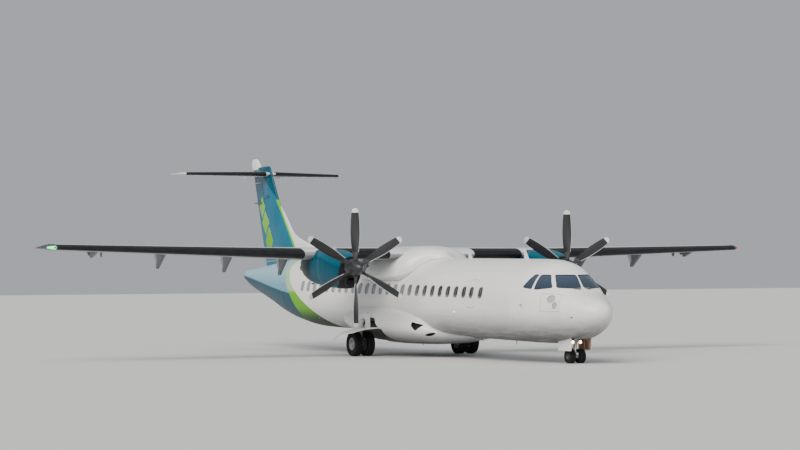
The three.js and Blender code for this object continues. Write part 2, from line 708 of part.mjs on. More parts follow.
function aileronCove() {
  const from = AILERON.from - MOVING_GAP;
  const to = AILERON.to + MOVING_GAP;
  const inner = wingHinge(AILERON.from, AILERON_HINGE);
  const outer = wingHinge(AILERON.to, AILERON_HINGE);
  const ahead = AILERON_RADIUS.inner + MOVING_GAP;
  const bores = endPins(inner, outer, AILERON_PIN.radius + PIN_GAP, AILERON_PIN.bore);
  return trailingRegion(from, to, AILERON_HINGE, ahead).add(bores);
}

function aileronBracket() {
  const { span, width, front, frontDrop, elbow, drop, foot, footDrop } = AILERON_BRACKET;
  const { lead, height, chord } = wingAt(span);
  const hinge = lead + AILERON_HINGE * chord;
  const outline = [
    { station: hinge - front, height: height - frontDrop },
    { station: hinge - elbow, height: height - drop },
    { station: hinge - foot, height: height - footDrop },
    { station: hinge - foot, height: height },
    { station: hinge - front, height: height },
  ];
  return plate(outline, span, width);
}

function flapCove(range) {
  return trailingRegion(range.from - MOVING_GAP, range.to + MOVING_GAP, FLAP_FRONT, MOVING_GAP);
}

// Engines

function nacelleBody() {
  return loft(NACELLE.map((row) => oval(row, NACELLE_SIDES, 0, ENGINE_SPAN)));
}

function makeNacelle(wing) {
  const boreFrom = point(NACELLE[0].station - CUT_EXTRA, ENGINE_SPAN, ENGINE.height);
  const boreTo = point(ENGINE.front + ENGINE.length + SEAT_GAP, ENGINE_SPAN, ENGINE.height);
  const bore = rod(boreFrom, boreTo, ENGINE.radius + SEAT_GAP, ENGINE.radius + SEAT_GAP, ROUND_SIDES);
  const outlet = rod(
    point(EXHAUST.front, ENGINE_SPAN, EXHAUST.height),
    point(EXHAUST.back, ENGINE_SPAN + EXHAUST.out, EXHAUST.height),
    EXHAUST.radius,
  );
  return largest(nacelleBody().add(outlet).subtract(wing).subtract(bore));
}

function makeEngine() {
  const from = point(ENGINE.front, ENGINE_SPAN, ENGINE.height);
  const to = point(ENGINE.front + ENGINE.length, ENGINE_SPAN, ENGINE.height);
  return rod(from, to, ENGINE.radius, ENGINE.radius, ROUND_SIDES);
}

function blade(turn) {
  const rings = BLADES.map((row) => {
    const pitch = THREE.MathUtils.degToRad(row.pitch);
    return BLADE_OUTLINE.map(({ along, up }) => {
      const across = along * row.chord * Math.cos(pitch) - up * row.thick * Math.sin(pitch);
      const ahead = along * row.chord * Math.sin(pitch) + up * row.thick * Math.cos(pitch);
      return new THREE.Vector3(ahead, across, row.radius);
    });
  });
  return toSolid(toGeometry(loft(rings)).rotateX(turn));
}

function spinnerProfile(station) {
  const share = (station - SPINNER.tip) / (SPINNER.back - SPINNER.tip);
  return SPINNER.radius * (1 - (1 - share) ** 2) ** SPINNER.taper;
}

function lathed(stations, height) {
  const profile = stations.map((s) => new THREE.Vector2(spinnerProfile(s), s));
  profile.unshift(new THREE.Vector2(0, stations[0]));
  profile.push(new THREE.Vector2(0, stations.at(-1)));
  const geometry = new THREE.LatheGeometry(profile, SPINNER_SIDES);
  geometry.rotateZ(Math.PI / 2);
  geometry.translate(NOSE_X, ENGINE_SPAN, height);
  return toSolid(geometry);
}

function makeSpinner() {
  const stations = SPINNER_STEPS.map((step) => SPINNER.tip + step);
  return lathed([...stations, SPLIT_FRONT - SEAT_GAP], SHAFT_HEIGHT);
}

function makePropeller() {
  let hub = lathed([SPLIT_FRONT, SPLIT_BACK, SPINNER.back], SHAFT_HEIGHT);
  for (let k = 0; k < BLADE_COUNT; k++) {
    const one = toGeometry(blade((2 * Math.PI * k) / BLADE_COUNT));
    one.translate(NOSE_X - BLADE_STATION, ENGINE_SPAN, SHAFT_HEIGHT);
    hub = hub.add(toSolid(one));
  }
  const from = point(SPINNER.back - CUT_EXTRA / 2, ENGINE_SPAN, SHAFT_HEIGHT);
  const to = point(ENGINE.front - PIN_GAP, ENGINE_SPAN, SHAFT_HEIGHT);
  return hub.add(rod(from, to, SHAFT_RADIUS));
}

// Tail

function finRing({ height, lead, trail, thick }) {
  const outline = foilOutline({ chord: trail - lead, thick });
  return outline.map((p) => point(lead + p.aft, p.up, height));
}

function finBody() {
  return loft(FIN.map(finRing));
}

function tailplaneRing(row, side, grow) {
  return foilOutline(row, grow).map((p) => {
    return point(row.lead + p.aft, side * row.span, TAILPLANE_HEIGHT + p.up);
  });
}

function tailplaneBody(grow = 0) {
  const port = [...TAILPLANE].reverse().map((row) => tailplaneRing(row, 1, grow));
  const starboard = TAILPLANE.slice(1).map((row) => tailplaneRing(row, -1, grow));
  return loft([...port, ...starboard]);
}

function elevatorRegion(from, to, ahead) {
  const { aft, bottom, top } = ELEVATOR_REGION;
  return block(ELEVATOR.hinge - ahead, ELEVATOR.hinge + aft, from, to, bottom, top);
}

function elevatorLine() {
  const inner = point(ELEVATOR.hinge, ELEVATOR.from, TAILPLANE_HEIGHT);
  const outer = point(ELEVATOR.hinge, ELEVATOR.to, TAILPLANE_HEIGHT);
  return [inner, outer];
}

function makeElevator() {
  const [inner, outer] = elevatorLine();
  return tailplaneBody()
    .intersect(elevatorRegion(ELEVATOR.from, ELEVATOR.to, 0))
    .add(rod(inner, outer, ELEVATOR.inner, ELEVATOR.outer))
    .add(endPins(inner, outer, ELEVATOR_PIN.radius, ELEVATOR_PIN.length));
}

function elevatorCove() {
  const [inner, outer] = elevatorLine();
  const ahead = ELEVATOR.inner + MOVING_GAP;
  return elevatorRegion(ELEVATOR.from - MOVING_GAP, ELEVATOR.to + MOVING_GAP, ahead)
    .add(endPins(inner, outer, ELEVATOR_PIN.radius + PIN_GAP, ELEVATOR_PIN.bore));
}

function rudderLine() {
  const foot = point(RUDDER_FOOT.station, 0, RUDDER_FOOT.height);
  const head = point(RUDDER_HEAD.station, 0, RUDDER_HEAD.height);
  return [foot, head];
}

function rudderRegion(grow, ahead) {
  const ring = (end, height) => {
    const shift = ((height - end.height) * (RUDDER_HEAD.station - RUDDER_FOOT.station)) /
      (RUDDER_HEAD.height - RUDDER_FOOT.height);
    const front = end.station + shift - ahead;
    return [
      point(front, -RUDDER_REGION.half, height),
      point(front, RUDDER_REGION.half, height),
      point(front + RUDDER_REGION.aft, RUDDER_REGION.half, height),
      point(front + RUDDER_REGION.aft, -RUDDER_REGION.half, height),
    ];
  };
  return loft([
    ring(RUDDER_FOOT, RUDDER_FOOT.height - grow),
    ring(RUDDER_HEAD, RUDDER_HEAD.height + grow),
  ]);
}

function makeRudder() {
  const [foot, head] = rudderLine();
  const nose = rod(foot, head, RUDDER_FOOT.radius, RUDDER_HEAD.radius);
  return finBody()
    .intersect(rudderRegion(0, 0))
    .add(nose.intersect(rudderRegion(0, RUDDER_REGION.nose)))
    .add(endPins(foot, head, RUDDER_PIN.radius, RUDDER_PIN.length));
}

function rudderCove() {
  const [foot, head] = rudderLine();
  const ahead = RUDDER_FOOT.radius * RUDDER_COVE + MOVING_GAP;
  const bores = endPins(foot, head, RUDDER_PIN.radius + PIN_GAP, RUDDER_PIN.bore);
  return rudderRegion(RUDDER_END_GAP, ahead).add(bores);
}

// Landing gear

function wheelLathe(profile, y, gear) {
  const points = profile.map(([radius, across]) => new THREE.Vector2(radius, across));
  const geometry = new THREE.LatheGeometry(points, WHEEL_SIDES);
  geometry.rotateY(Math.PI / WHEEL_SIDES);
  const hub = gear.radius * FLAT;
  geometry.translate(NOSE_X - gear.station, y, hub);
  return toSolid(geometry);
}

function makeTyre(gear, y) {
  const { radius, width, rim } = gear;
  const half = width / 2;
  const inner = rim + SEAT_GAP;
  const bulge = rim + (radius - rim) * WHEEL_BULGE;
  const bead = half * TYRE_BEAD;
  const shoulder = half * TYRE_SHOULDER;
  const profile = [
    [inner, -bead],
    [bulge, -half],
    [radius, -shoulder],
    [radius, shoulder],
    [bulge, half],
    [inner, bead],
    [inner, -bead],
  ];
  return wheelLathe(profile, y, gear);
}

// Both wheels of a pair, joined by the axle that turns in the leg
function makeWheels(gear, middle) {
  const { width, rim, apart } = gear;
  const half = width / 2;
  const axle = rim * AXLE_SHARE;
  const rows = WHEEL_DISC.map(({ out, across }) => [rim * out, half * across]);
  const profile = [...rows, ...rows.map(([out, across]) => [out, -across]).reverse()];
  const hub = gear.radius * FLAT;
  const left = point(gear.station, middle - apart, hub);
  const right = point(gear.station, middle + apart, hub);
  return wheelLathe(profile, middle - apart, gear)
    .add(wheelLathe(profile, middle + apart, gear))
    .add(rod(left, right, axle, axle, WHEEL_SIDES));
}

function axleBore(gear, middle) {
  const hub = gear.radius * FLAT;
  const radius = gear.rim * AXLE_SHARE + PIN_GAP;
  const left = point(gear.station, middle - gear.apart, hub);
  const right = point(gear.station, middle + gear.apart, hub);
  return rod(left, right, radius, radius, WHEEL_SIDES);
}

function makeNoseLeg() {
  const top = point(NOSE_GEAR.station, 0, NOSE_BAY.roof - SEAT_GAP);
  const bottom = point(NOSE_GEAR.station, 0, STEERING_HEIGHT + SEAT_GAP);
  const brace = point(NOSE_BAY.back - NOSE_BRACE.ahead, 0, NOSE_BAY.roof - NOSE_BRACE.drop);
  const middle = point(NOSE_GEAR.station, 0, NOSE_BRACE.foot);
  const socket = rod(
    point(NOSE_GEAR.station, 0, STEERING_HEIGHT - CUT_EXTRA),
    point(NOSE_GEAR.station, 0, STEERING_HEIGHT + STEERING_PIN.socket),
    STEERING_PIN.radius + PIN_GAP,
    STEERING_PIN.radius + PIN_GAP,
    STEERING_PIN.sides,
  );
  return rod(top, bottom, NOSE_LEG.upper)
    .add(rod(brace, middle, NOSE_BRACE.radius))
    .subtract(socket);
}

function makeNoseFork() {
  const hub = NOSE_GEAR.radius * FLAT;
  const spigot = rod(
    point(NOSE_GEAR.station, 0, STEERING_HEIGHT - STEERING_PIN.sunk),
    point(NOSE_GEAR.station, 0, STEERING_HEIGHT + STEERING_PIN.length),
    STEERING_PIN.radius,
    STEERING_PIN.radius,
    STEERING_PIN.sides,
  );
  const tube = rod(
    point(NOSE_GEAR.station, 0, hub),
    point(NOSE_GEAR.station, 0, STEERING_HEIGHT - PIN_GAP),
    NOSE_LEG.lower,
  );
  const boss = rod(
    point(NOSE_GEAR.station, -NOSE_LEG.bossHalf, hub),
    point(NOSE_GEAR.station, NOSE_LEG.bossHalf, hub),
    NOSE_LEG.boss,
  );
  const { reach, half, bottom, top } = TOW_LUG;
  const lug = block(NOSE_GEAR.station - reach, NOSE_GEAR.station, -half, half, bottom, top);
  return tube.add(boss).add(spigot).add(lug).subtract(axleBore(NOSE_GEAR, 0));
}

function makeNoseDoor() {
  const { front, back, bottom, top, thick } = NOSE_DOOR;
  const outline = [
    { station: front, height: bottom + NOSE_DOOR_CORNER },
    { station: front + NOSE_DOOR_CORNER, height: bottom },
    { station: back - NOSE_DOOR_CORNER, height: bottom },
    { station: back, height: bottom + NOSE_DOOR_CORNER },
    { station: back, height: top },
    { station: front, height: top },
  ];
  return plate(outline, NOSE_BAY.half - SEAT_GAP - thick / 2, thick);
}

// Leg, cross arm and shock strut of the port main gear, grown by a gap
function mainLegBars(grow) {
  const { station, span } = MAIN_GEAR;
  const hub = MAIN_GEAR.radius * FLAT;
  const shoulder = point(station, span, MAIN_LEG.shoulder);
  const hip = point(station - MAIN_ARM.ahead, MAIN_LEG.hip, MAIN_LEG.shoulder + MAIN_ARM.rise);
  const foot = point(station, span, hub);
  const strut = point(station + MAIN_STRUT.aft, MAIN_LEG.hip, MAIN_LEG.shoulder - MAIN_STRUT.drop);
  const grip = point(station + MAIN_STRUT.topAft, span, MAIN_LEG.shoulder - MAIN_STRUT.topDrop);
  return rod(hip, shoulder, MAIN_LEG.arm + grow)
    .add(rod(shoulder, foot, MAIN_LEG.leg + grow))
    .add(rod(strut, grip, MAIN_LEG.strut + grow));
}

function makeMainLeg(hull) {
  const { station, span } = MAIN_GEAR;
  const hub = MAIN_GEAR.radius * FLAT;
  const { boss: radius, bossHalf } = MAIN_LEG;
  const boss = rod(point(station, span - bossHalf, hub), point(station, span + bossHalf, hub), radius);
  const whole = mainLegBars(0).add(boss);
  return largest(whole.subtract(hull).subtract(axleBore(MAIN_GEAR, span)));
}

// Curved door carried on the leg, with the flat panel that stands on it: they cover the well in flight
function makeMainDoor() {
  const { front, middle, back, thick, corner, panel } = MAIN_DOOR;
  const sections = [
    { at: front, share: 0 },
    { at: middle, share: corner },
    { at: back, share: 1 },
  ];
  const rings = sections.map(({ at, share }) => {
    const height = (p) => p.front + share * (p.back - p.front);
    const upper = MAIN_DOOR_CURVE.map((p) => point(at, p.span, height(p)));
    const lower = MAIN_DOOR_CURVE.map((p) => point(at, p.span, height(p) - thick));
    return [...upper, ...lower.reverse()];
  });
  const { station, span } = MAIN_GEAR;
  const upright = block(panel.front, panel.back, panel.span, panel.span + thick, panel.bottom, panel.top);
  const armHole = block(
    station - ARM_HOLE.ahead,
    station + ARM_HOLE.behind,
    panel.span - CUT_EXTRA,
    panel.span + CUT_EXTRA,
    MAIN_LEG.shoulder - ARM_HOLE.below,
    MAIN_LEG.shoulder + ARM_HOLE.above,
  );
  const radius = MAIN_LEG.leg + SEAT_GAP;
  const legHole = rod(point(station, span, 0), point(station, span, MAIN_LEG.shoulder), radius);
  return loft(rings).add(upright.subtract(armHole)).subtract(legHole);
}

function addPiece(name, solid, material) {
  const mesh = new THREE.Mesh(toGeometry(solid), material);
  mesh.name = name;
  aircraft.add(mesh);
}

function addPair(name, solid, material) {
  addPiece(name + "_left", solid, material);
  addPiece(name + "_right", mirrored(solid), material);
}

// Assembly: bodies that other pieces are cut to come first

const hullSeat = fuselageBody(CUT_EXTRA, LENGTH - CUT_EXTRA, -SEAT_GAP);
const wingSeatSide = wingBody(0, WING_JOINT, SEAT_GAP);
const wingSeat = wingSeatSide.add(mirrored(wingSeatSide));
const noseBay = block(NOSE_BAY.front, NOSE_BAY.back, -NOSE_BAY.half, NOSE_BAY.half, 0, NOSE_BAY.roof);

const glazingBox = block(GLAZING.front, GLAZING.back, -WIDE, WIDE, GLAZING.bottom, GLAZING.top);
const glazingFront = GLAZING.front - HULL_MARGIN;
const glazingEnd = GLAZING.back + HULL_MARGIN;
const glazingBack = fuselageBody(glazingFront, glazingEnd, GLAZING.thick);
const nosePart = FUSELAGE_PARTS.find((part) => part.name === "fuselage_nose");
const glazing = fuselageBody(nosePart.front, nosePart.back).intersect(glazingBox).subtract(glazingBack);
const glazingSeatBox = block(
  GLAZING.front - SEAT_GAP,
  GLAZING.back + SEAT_GAP,
  -WIDE,
  WIDE,
  GLAZING.bottom - SEAT_GAP,
  GLAZING.top + SEAT_GAP,
);
const glazingSeatDepth = GLAZING.thick + SEAT_GAP;
const glazingSeatBack = fuselageBody(glazingFront - CUT_EXTRA, glazingEnd + CUT_EXTRA, glazingSeatDepth);
const glazingSeatWhole = fuselageBody(glazingFront, glazingEnd, -CUT_EXTRA);
const glazingSeat = glazingSeatWhole.intersect(glazingSeatBox).subtract(glazingSeatBack);
addPiece("cockpit_windows", largest(glazing), GLASS);

for (const { name, front, back } of FUSELAGE_PARTS) {
  let body = fuselageBody(front, back - (back === LENGTH ? 0 : SEAT_GAP));
  if (name === "fuselage_nose") {
    body = body.subtract(noseBay).subtract(glazingSeat);
  }
  if (name === "fuselage_centre") {
    body = body.subtract(wingSeat);
  }
  for (const door of DOORS.filter((d) => d.front > front && d.back < back)) {
    body = body.subtract(doorPocket(door));
  }
  addPiece(name, largest(body), name === "tail_cone" ? TEAL : WHITE);
}
for (const door of DOORS) {
  addPiece(door.name, makeDoor(door), WHITE);
}

const topFairing = loft(TOP_FAIRING.map((row) => oval(row, FAIRING_SIDES)));
addPiece("wing_fairing", largest(topFairing.subtract(hullSeat).subtract(wingSeat)), WHITE);

const bellyFairing = loft(BELLY_FAIRING.map((row) => oval(row, FAIRING_SIDES)));
const well = block(
  GEAR_WELL.front,
  GEAR_WELL.back,
  GEAR_WELL.inner,
  GEAR_WELL.outer,
  0,
  GEAR_WELL.roof,
);
const wells = well.add(mirrored(well));
addPiece("belly_fairing", largest(bellyFairing.subtract(hullSeat).subtract(wells)), WHITE);

let wingCentre = wingBody(0, WING_JOINT).add(mirrored(wingBody(0, WING_JOINT)));
for (const range of [FLAP_INBOARD, FLAP_OUTBOARD]) {
  const cove = flapCove(range);
  wingCentre = wingCentre.subtract(cove).subtract(mirrored(cove));
}
for (const arm of FLAP_ARMS.filter((a) => a.span < WING_JOINT)) {
  const fork = flapFork(arm);
  wingCentre = wingCentre.add(fork).add(mirrored(fork));
}
addPiece("wing_centre", wingCentre, WHITE);

let wingPanel = wingBody(WING_JOINT + SEAT_GAP, HALF_SPAN).subtract(flapCove(FLAP_OUTBOARD));
wingPanel = wingPanel.add(aileronBracket()).subtract(aileronCove());
for (const arm of FLAP_ARMS.filter((a) => a.span > WING_JOINT)) {
  wingPanel = wingPanel.add(flapFork(arm));
}
addPair("wing_panel", largest(wingPanel), WHITE);
addPair("flap_inboard", makeFlap(FLAP_INBOARD), GREY);
addPair("flap_outboard", makeFlap(FLAP_OUTBOARD), GREY);
addPair("aileron", makeAileron(), GREY);

addPair("nacelle", makeNacelle(wingSeat), TEAL);
addPair("engine", makeEngine(), STEEL);
addPair("spinner", makeSpinner(), CHARCOAL);
addPair("propeller", makePropeller(), CHARCOAL);

const tailSeat = tailplaneBody(SEAT_GAP);
const coves = elevatorCove().add(mirrored(elevatorCove()));
const upper = block(-FAR, FAR, -WIDE, WIDE, TAILPLANE_HEIGHT, FAR);
const dorsalOutline = [
  ...DORSAL_FIN,
  { station: DORSAL_FIN.at(-1).station, height: DORSAL_BASE },
  { station: DORSAL_FIN[0].station, height: DORSAL_BASE },
];
const finWhole = finBody().add(plate(dorsalOutline, 0, DORSAL_THICK)).subtract(hullSeat);
const finLower = finWhole.subtract(upper).subtract(tailSeat).subtract(rudderCove());
addPiece("fin", largest(finLower), TEAL);
const beacon = plate(BEACON, 0, BEACON_THICK);
addPiece("fin_tip", largest(finWhole.intersect(upper).subtract(tailSeat).add(beacon)), TEAL);
addPiece("rudder", makeRudder(), TEAL);
addPiece("tailplane", tailplaneBody().subtract(coves), TEAL);
addPair("elevator", makeElevator(), TEAL);

addPiece("nose_gear_leg", makeNoseLeg(), STEEL);
addPiece("nose_gear_fork", makeNoseFork(), STEEL);
addPiece("nose_wheels", makeWheels(NOSE_GEAR, 0), GREY);
addPair("nose_tyre", makeTyre(NOSE_GEAR, NOSE_GEAR.apart), RUBBER);
addPair("nose_gear_door", makeNoseDoor(), WHITE);
addPair("main_gear_leg", makeMainLeg(hullSeat), STEEL);
addPair("main_wheels", makeWheels(MAIN_GEAR, MAIN_GEAR.span), GREY);
addPair("main_tyre_outer", makeTyre(MAIN_GEAR, MAIN_GEAR.span + MAIN_GEAR.apart), RUBBER);
addPair("main_tyre_inner", makeTyre(MAIN_GEAR, MAIN_GEAR.span - MAIN_GEAR.apart), RUBBER);
addPair("main_gear_door", makeMainDoor(), WHITE);

export default aircraft;
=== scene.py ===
"""Looks of the twin-propeller airliner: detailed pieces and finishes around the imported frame."""
import math

import bmesh
import bpy
import numpy as np
from mathutils import Matrix, Vector


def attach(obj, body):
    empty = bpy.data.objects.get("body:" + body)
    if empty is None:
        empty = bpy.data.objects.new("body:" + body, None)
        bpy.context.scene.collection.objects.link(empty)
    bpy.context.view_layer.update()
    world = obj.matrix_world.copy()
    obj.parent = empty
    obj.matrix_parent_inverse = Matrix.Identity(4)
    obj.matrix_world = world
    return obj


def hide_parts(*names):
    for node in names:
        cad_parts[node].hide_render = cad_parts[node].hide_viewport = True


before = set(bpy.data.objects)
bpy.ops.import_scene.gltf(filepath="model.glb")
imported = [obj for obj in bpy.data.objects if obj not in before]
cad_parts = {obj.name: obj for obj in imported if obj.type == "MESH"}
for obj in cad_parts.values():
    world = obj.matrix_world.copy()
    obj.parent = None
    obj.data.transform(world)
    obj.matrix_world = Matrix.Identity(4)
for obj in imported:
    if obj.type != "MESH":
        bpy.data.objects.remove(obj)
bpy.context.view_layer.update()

# Sizes in metres. A station is the distance aft of the nose tip
NOSE_X = 13.583
FAIRING_ROUND = 2.3  # roundness of the fairings' ovals, where 2 is an ellipse

# station, half width, crown, widest height, keel, roundness above, roundness below
HULL_ROWS = [
    (0, 0.002, 1.567, 1.565, 1.563, 2, 2),
    (0.07, 0.25, 1.778, 1.565, 1.327, 2, 2),
    (0.24, 0.43, 1.906, 1.57, 1.153, 2.05, 2.1),
    (0.52, 0.62, 2.02, 1.59, 0.99, 2.1, 2.1),
    (0.85, 0.787, 2.13, 1.62, 0.85, 2.2, 2.1),
    (1.18, 0.924, 2.272, 1.65, 0.751, 2.25, 2.1),
    (1.5, 1.007, 2.642, 1.68, 0.701, 2.1, 2.15),
    (1.85, 1.111, 2.917, 1.71, 0.653, 2, 2.2),
    (2.3, 1.251, 3.12, 1.745, 0.618, 2.05, 2.2),
    (2.8, 1.357, 3.203, 1.775, 0.6, 2.05, 2.2),
    (3.4, 1.4325, 3.231, 1.799, 0.601, 2, 2.2),
    (4, 1.4325, 3.2425, 1.8105, 0.6125, 2, 2.2),
    (17, 1.4325, 3.4915, 2.0586, 0.8615, 2, 2.2),
    (17.6, 1.4325, 3.503, 2.07, 0.873, 2, 2.2),
    (19, 1.415, 3.525, 2.105, 0.915, 2, 2.2),
    (20.5, 1.33, 3.535, 2.195, 1.095, 2, 2.2),
    (22, 1.13, 3.50, 2.335, 1.365, 2, 2.1),
    (23.5, 0.865, 3.39, 2.53, 1.72, 2, 2),
    (25, 0.59, 3.245, 2.70, 2.07, 2, 2),
    (26.3, 0.38, 3.145, 2.82, 2.41, 2, 2),
    (26.9, 0.28, 3.115, 2.89, 2.635, 2, 2),
    (27.08, 0.205, 3.065, 2.90, 2.715, 2, 2),
    (27.15, 0.11, 2.985, 2.90, 2.80, 2, 2),
]
HULL_SIDES = 96
HULL_RINGS = 230
NOSE_STRETCH = 2.0  # ahead of this station the rings crowd together towards the tip

# side (1 is port), front, back, sill, head
PASSENGER_DOOR = (1, 19.55, 20.33, 1.33, 3.02)
CARGO_DOOR = (1, 3.62, 4.89, 1.23, 2.70)
SERVICE_DOOR = (-1, 20.40, 21.06, 1.50, 2.79)
EXITS = [(1, 5.52, 6.04, 1.70, 2.60), (-1, 5.52, 6.04, 1.70, 2.60)]
DOOR_GAP = 0.008
DOOR_THICK = 0.055
HINGE_GAPS = {"sill": 0.085, "head": 0.032}  # beyond the hinge edge of a door
HINGE_DEPTH = 0.012  # from the skin to the hinge line
DOORWAY_DEPTH = 0.62
WINDOW = {"count": 26, "first": 5.18, "pitch": 0.544, "front_z": 2.18, "back_z": 2.44, "wide": 0.29,
          "tall": 0.39}

# span, leading edge station, height, chord, thickness
WING_ROWS = [
    (0, 10.98, 3.49, 2.57, 0.165),
    (4.8, 10.98, 3.49, 2.57, 0.165),
    (13.3, 11.735, 3.73, 1.69, 0.12),
    (13.525, 11.93, 3.74, 1.33, 0.10),
]
CAMBER = 0.02
FLAP_FRONT = 0.71
AILERON_HINGE = 0.76
FLAP_INBOARD = (1.64, 3.50)
FLAP_OUTBOARD = (4.60, 9.60)
AILERON = (9.76, 13.15)
FLAP_ARMS = [(1.80, 0.07), (3.33, 0.07), (4.96, 0.13), (7.00, 0.13), (9.37, 0.13)]
AILERON_BRACKET = (11.69, 0.09)
FORK_FOOT = 0.5  # share of a hinge fork's width that is left at its foot
GAP = 0.008

# station, half width, crown, widest height, keel
TOP_ROWS = [
    (9.55, 0.04, 3.365, 3.30, 3.20),
    (9.80, 0.12, 3.42, 3.28, 3.15),
    (10.05, 0.24, 3.53, 3.22, 3.08),
    (10.25, 0.62, 3.64, 3.08, 2.92),
    (10.45, 1.08, 3.70, 2.98, 2.76),
    (10.75, 1.38, 3.755, 2.84, 2.58),
    (11.05, 1.49, 3.79, 2.78, 2.50),
    (13.4, 1.49, 3.80, 2.78, 2.50),
    (14.3, 1.33, 3.74, 2.92, 2.66),
    (15.2, 0.90, 3.60, 3.15, 2.95),
    (15.9, 0.40, 3.51, 3.25, 3.10),
]
BELLY_ROWS = [
    (7.4, 0.42, 0.8, 0.74, 0.655),
    (8.0, 0.6, 0.86, 0.76, 0.58),
    (8.7, 0.86, 0.98, 0.8, 0.51),
    (9.05, 1.12, 1.11, 0.87, 0.48),
    (9.3, 1.42, 1.33, 0.95, 0.462),
    (9.6, 1.63, 1.49, 1.02, 0.446),
    (10.4, 1.82, 1.69, 1.09, 0.415),
    (11.5, 1.89, 1.84, 1.13, 0.405),
    (12.9, 1.9, 1.87, 1.19, 0.44),
    (13.7, 1.89, 1.84, 1.25, 0.56),
    (14.2, 1.85, 1.76, 1.31, 0.74),
    (14.5, 1.72, 1.69, 1.37, 0.91),
    (14.68, 1.49, 1.57, 1.4, 1.06),
]
# front, back, inner and outer span, bottom, top
GEAR_WELL = [
    (11.30, 13.28, 0.70, 2.50, 0.0, 0.95),
    (11.34, 13.28, 0.70, 1.60, 0.90, 1.48),
]
# station and height of the corners of the opening in its side
GEAR_WELL_SIDE = [(11.34, 0.90), (11.56, 1.03), (11.70, 1.16), (11.73, 1.24), (11.84, 1.33), (12.82, 1.33),
                  (12.82, 0.90)]

ENGINE_SPAN = 4.05
SHAFT_Z = 3.02
# station, half width, crown, widest height, keel, roundness above, roundness below
NACELLE_ROWS = [
    (9.02, 0.312, 3.355, 3.02, 2.42, 2, 2),
    (9.13, 0.375, 3.43, 3.01, 2.36, 2.05, 2.2),
    (9.48, 0.44, 3.54, 3.01, 2.34, 2.7, 2.3),
    (10.3, 0.48, 3.65, 3.04, 2.37, 4, 2.3),
    (11.4, 0.475, 3.66, 3.08, 2.48, 4, 2.3),
    (12.0, 0.40, 3.62, 3.11, 2.60, 3.6, 2.2),
    (12.5, 0.245, 3.50, 3.17, 2.745, 2.6, 2.1),
    (12.85, 0.11, 3.37, 3.23, 2.93, 2, 2),
]
SPINNER = {"tip": 8.31, "back": 9.005, "radius": 0.30, "taper": 0.62}
BLADE_STATION = 8.76
SPINNER_SPLIT = 8.61
# radius, chord, thickness, pitch in degrees
BLADE_ROWS = [
    (0.20, 0.13, 0.09, 62),
    (0.56, 0.25, 0.046, 50),
    (1.15, 0.32, 0.030, 35),
    (1.70, 0.27, 0.020, 26),
    (1.90, 0.20, 0.014, 23),
    (1.962, 0.10, 0.009, 22),
]
BLADE_COUNT = 6

# height, leading edge, trailing edge, thickness
FIN_ROWS = [
    (3.10, 21.46, 25.18, 0.09),
    (3.94, 22.29, 25.46, 0.10),
    (5.86, 24.00, 26.09, 0.11),
    (6.75, 24.56, 26.39, 0.12),
    (7.25, 24.86, 26.555, 0.11),
]
# station, top height
DORSAL_ROWS = [(18.0, 3.50), (19.4, 3.70), (20.6, 3.92), (21.3, 4.11), (22.05, 4.31), (22.5, 4.49),
               (23.05, 4.99), (23.8, 5.62)]
# station, height, half thickness at each end of the rudder's hinge
RUDDER_FOOT = (24.25, 3.46, 0.102)
RUDDER_HEAD = (25.55, 6.60, 0.087)
RUDDER_END_GAP = 0.03
TAILPLANE_Z = 6.93
# span, leading edge station, height, chord, thickness
TAILPLANE_ROWS = [
    (0, 24.72, TAILPLANE_Z, 1.88, 0.11),
    (3.36, 25.46, TAILPLANE_Z, 1.15, 0.11),
    (3.655, 25.68, TAILPLANE_Z, 0.87, 0.09),
]
# height, front, back, half width
BEACON_FAIRING = [
    (7.15, 25.70, 26.58, 0.075),
    (7.30, 25.78, 26.64, 0.072),
    (7.42, 25.88, 26.66, 0.064),
    (7.52, 26.00, 26.63, 0.052),
    (7.585, 26.14, 26.57, 0.040),
    (7.60, 26.22, 26.52, 0.030),
]
BEACON_LENS = [
    (7.59, 26.30, 26.46, 0.040),
    (7.615, 26.30, 26.46, 0.040),
    (7.635, 26.33, 26.44, 0.030),
    (7.648, 26.37, 26.40, 0.010),
]
ELEVATOR = {"from": 0.29, "to": 3.34, "hinge": 26.08, "inner": 0.042, "outer": 0.030}

ROUND_WHEEL = math.cos(math.pi / 20)  # the CAD wheel stands on one of its 20 flats
NOSE_GEAR = {"station": 1.72, "span": 0.0, "apart": 0.18, "radius": 0.225, "width": 0.175, "rim": 0.095}
MAIN_GEAR = {"station": 12.5, "span": 2.055, "apart": 0.232, "radius": 0.432, "width": 0.254, "rim": 0.21}
NOSE_BAY = {"front": 1.20, "back": 2.28, "half": 0.3725, "roof": 1.15}
NOSE_DOOR = {"front": 1.35, "back": 2.10, "bottom": 0.39, "top": 0.86, "thick": 0.02}
MAIN_LEG = {"hip": 0.95, "shoulder": 1.19}
MAIN_DOOR = {"front": 11.56, "middle": 12.76, "back": 13.10, "thick": 0.03}
# span, height at the front, height at the back
MAIN_DOOR_CURVE = [(1.4, 0.975, 0.975), (1.8, 1.0, 0.985), (2.15, 0.985, 0.915), (2.5, 0.935, 0.785),
                   (2.82, 0.845, 0.59)]
DOOR_PANEL = {"front": 12.03, "back": 12.70, "span": 1.905, "bottom": 0.96, "top": 1.45}
STEERING_Z = 0.56

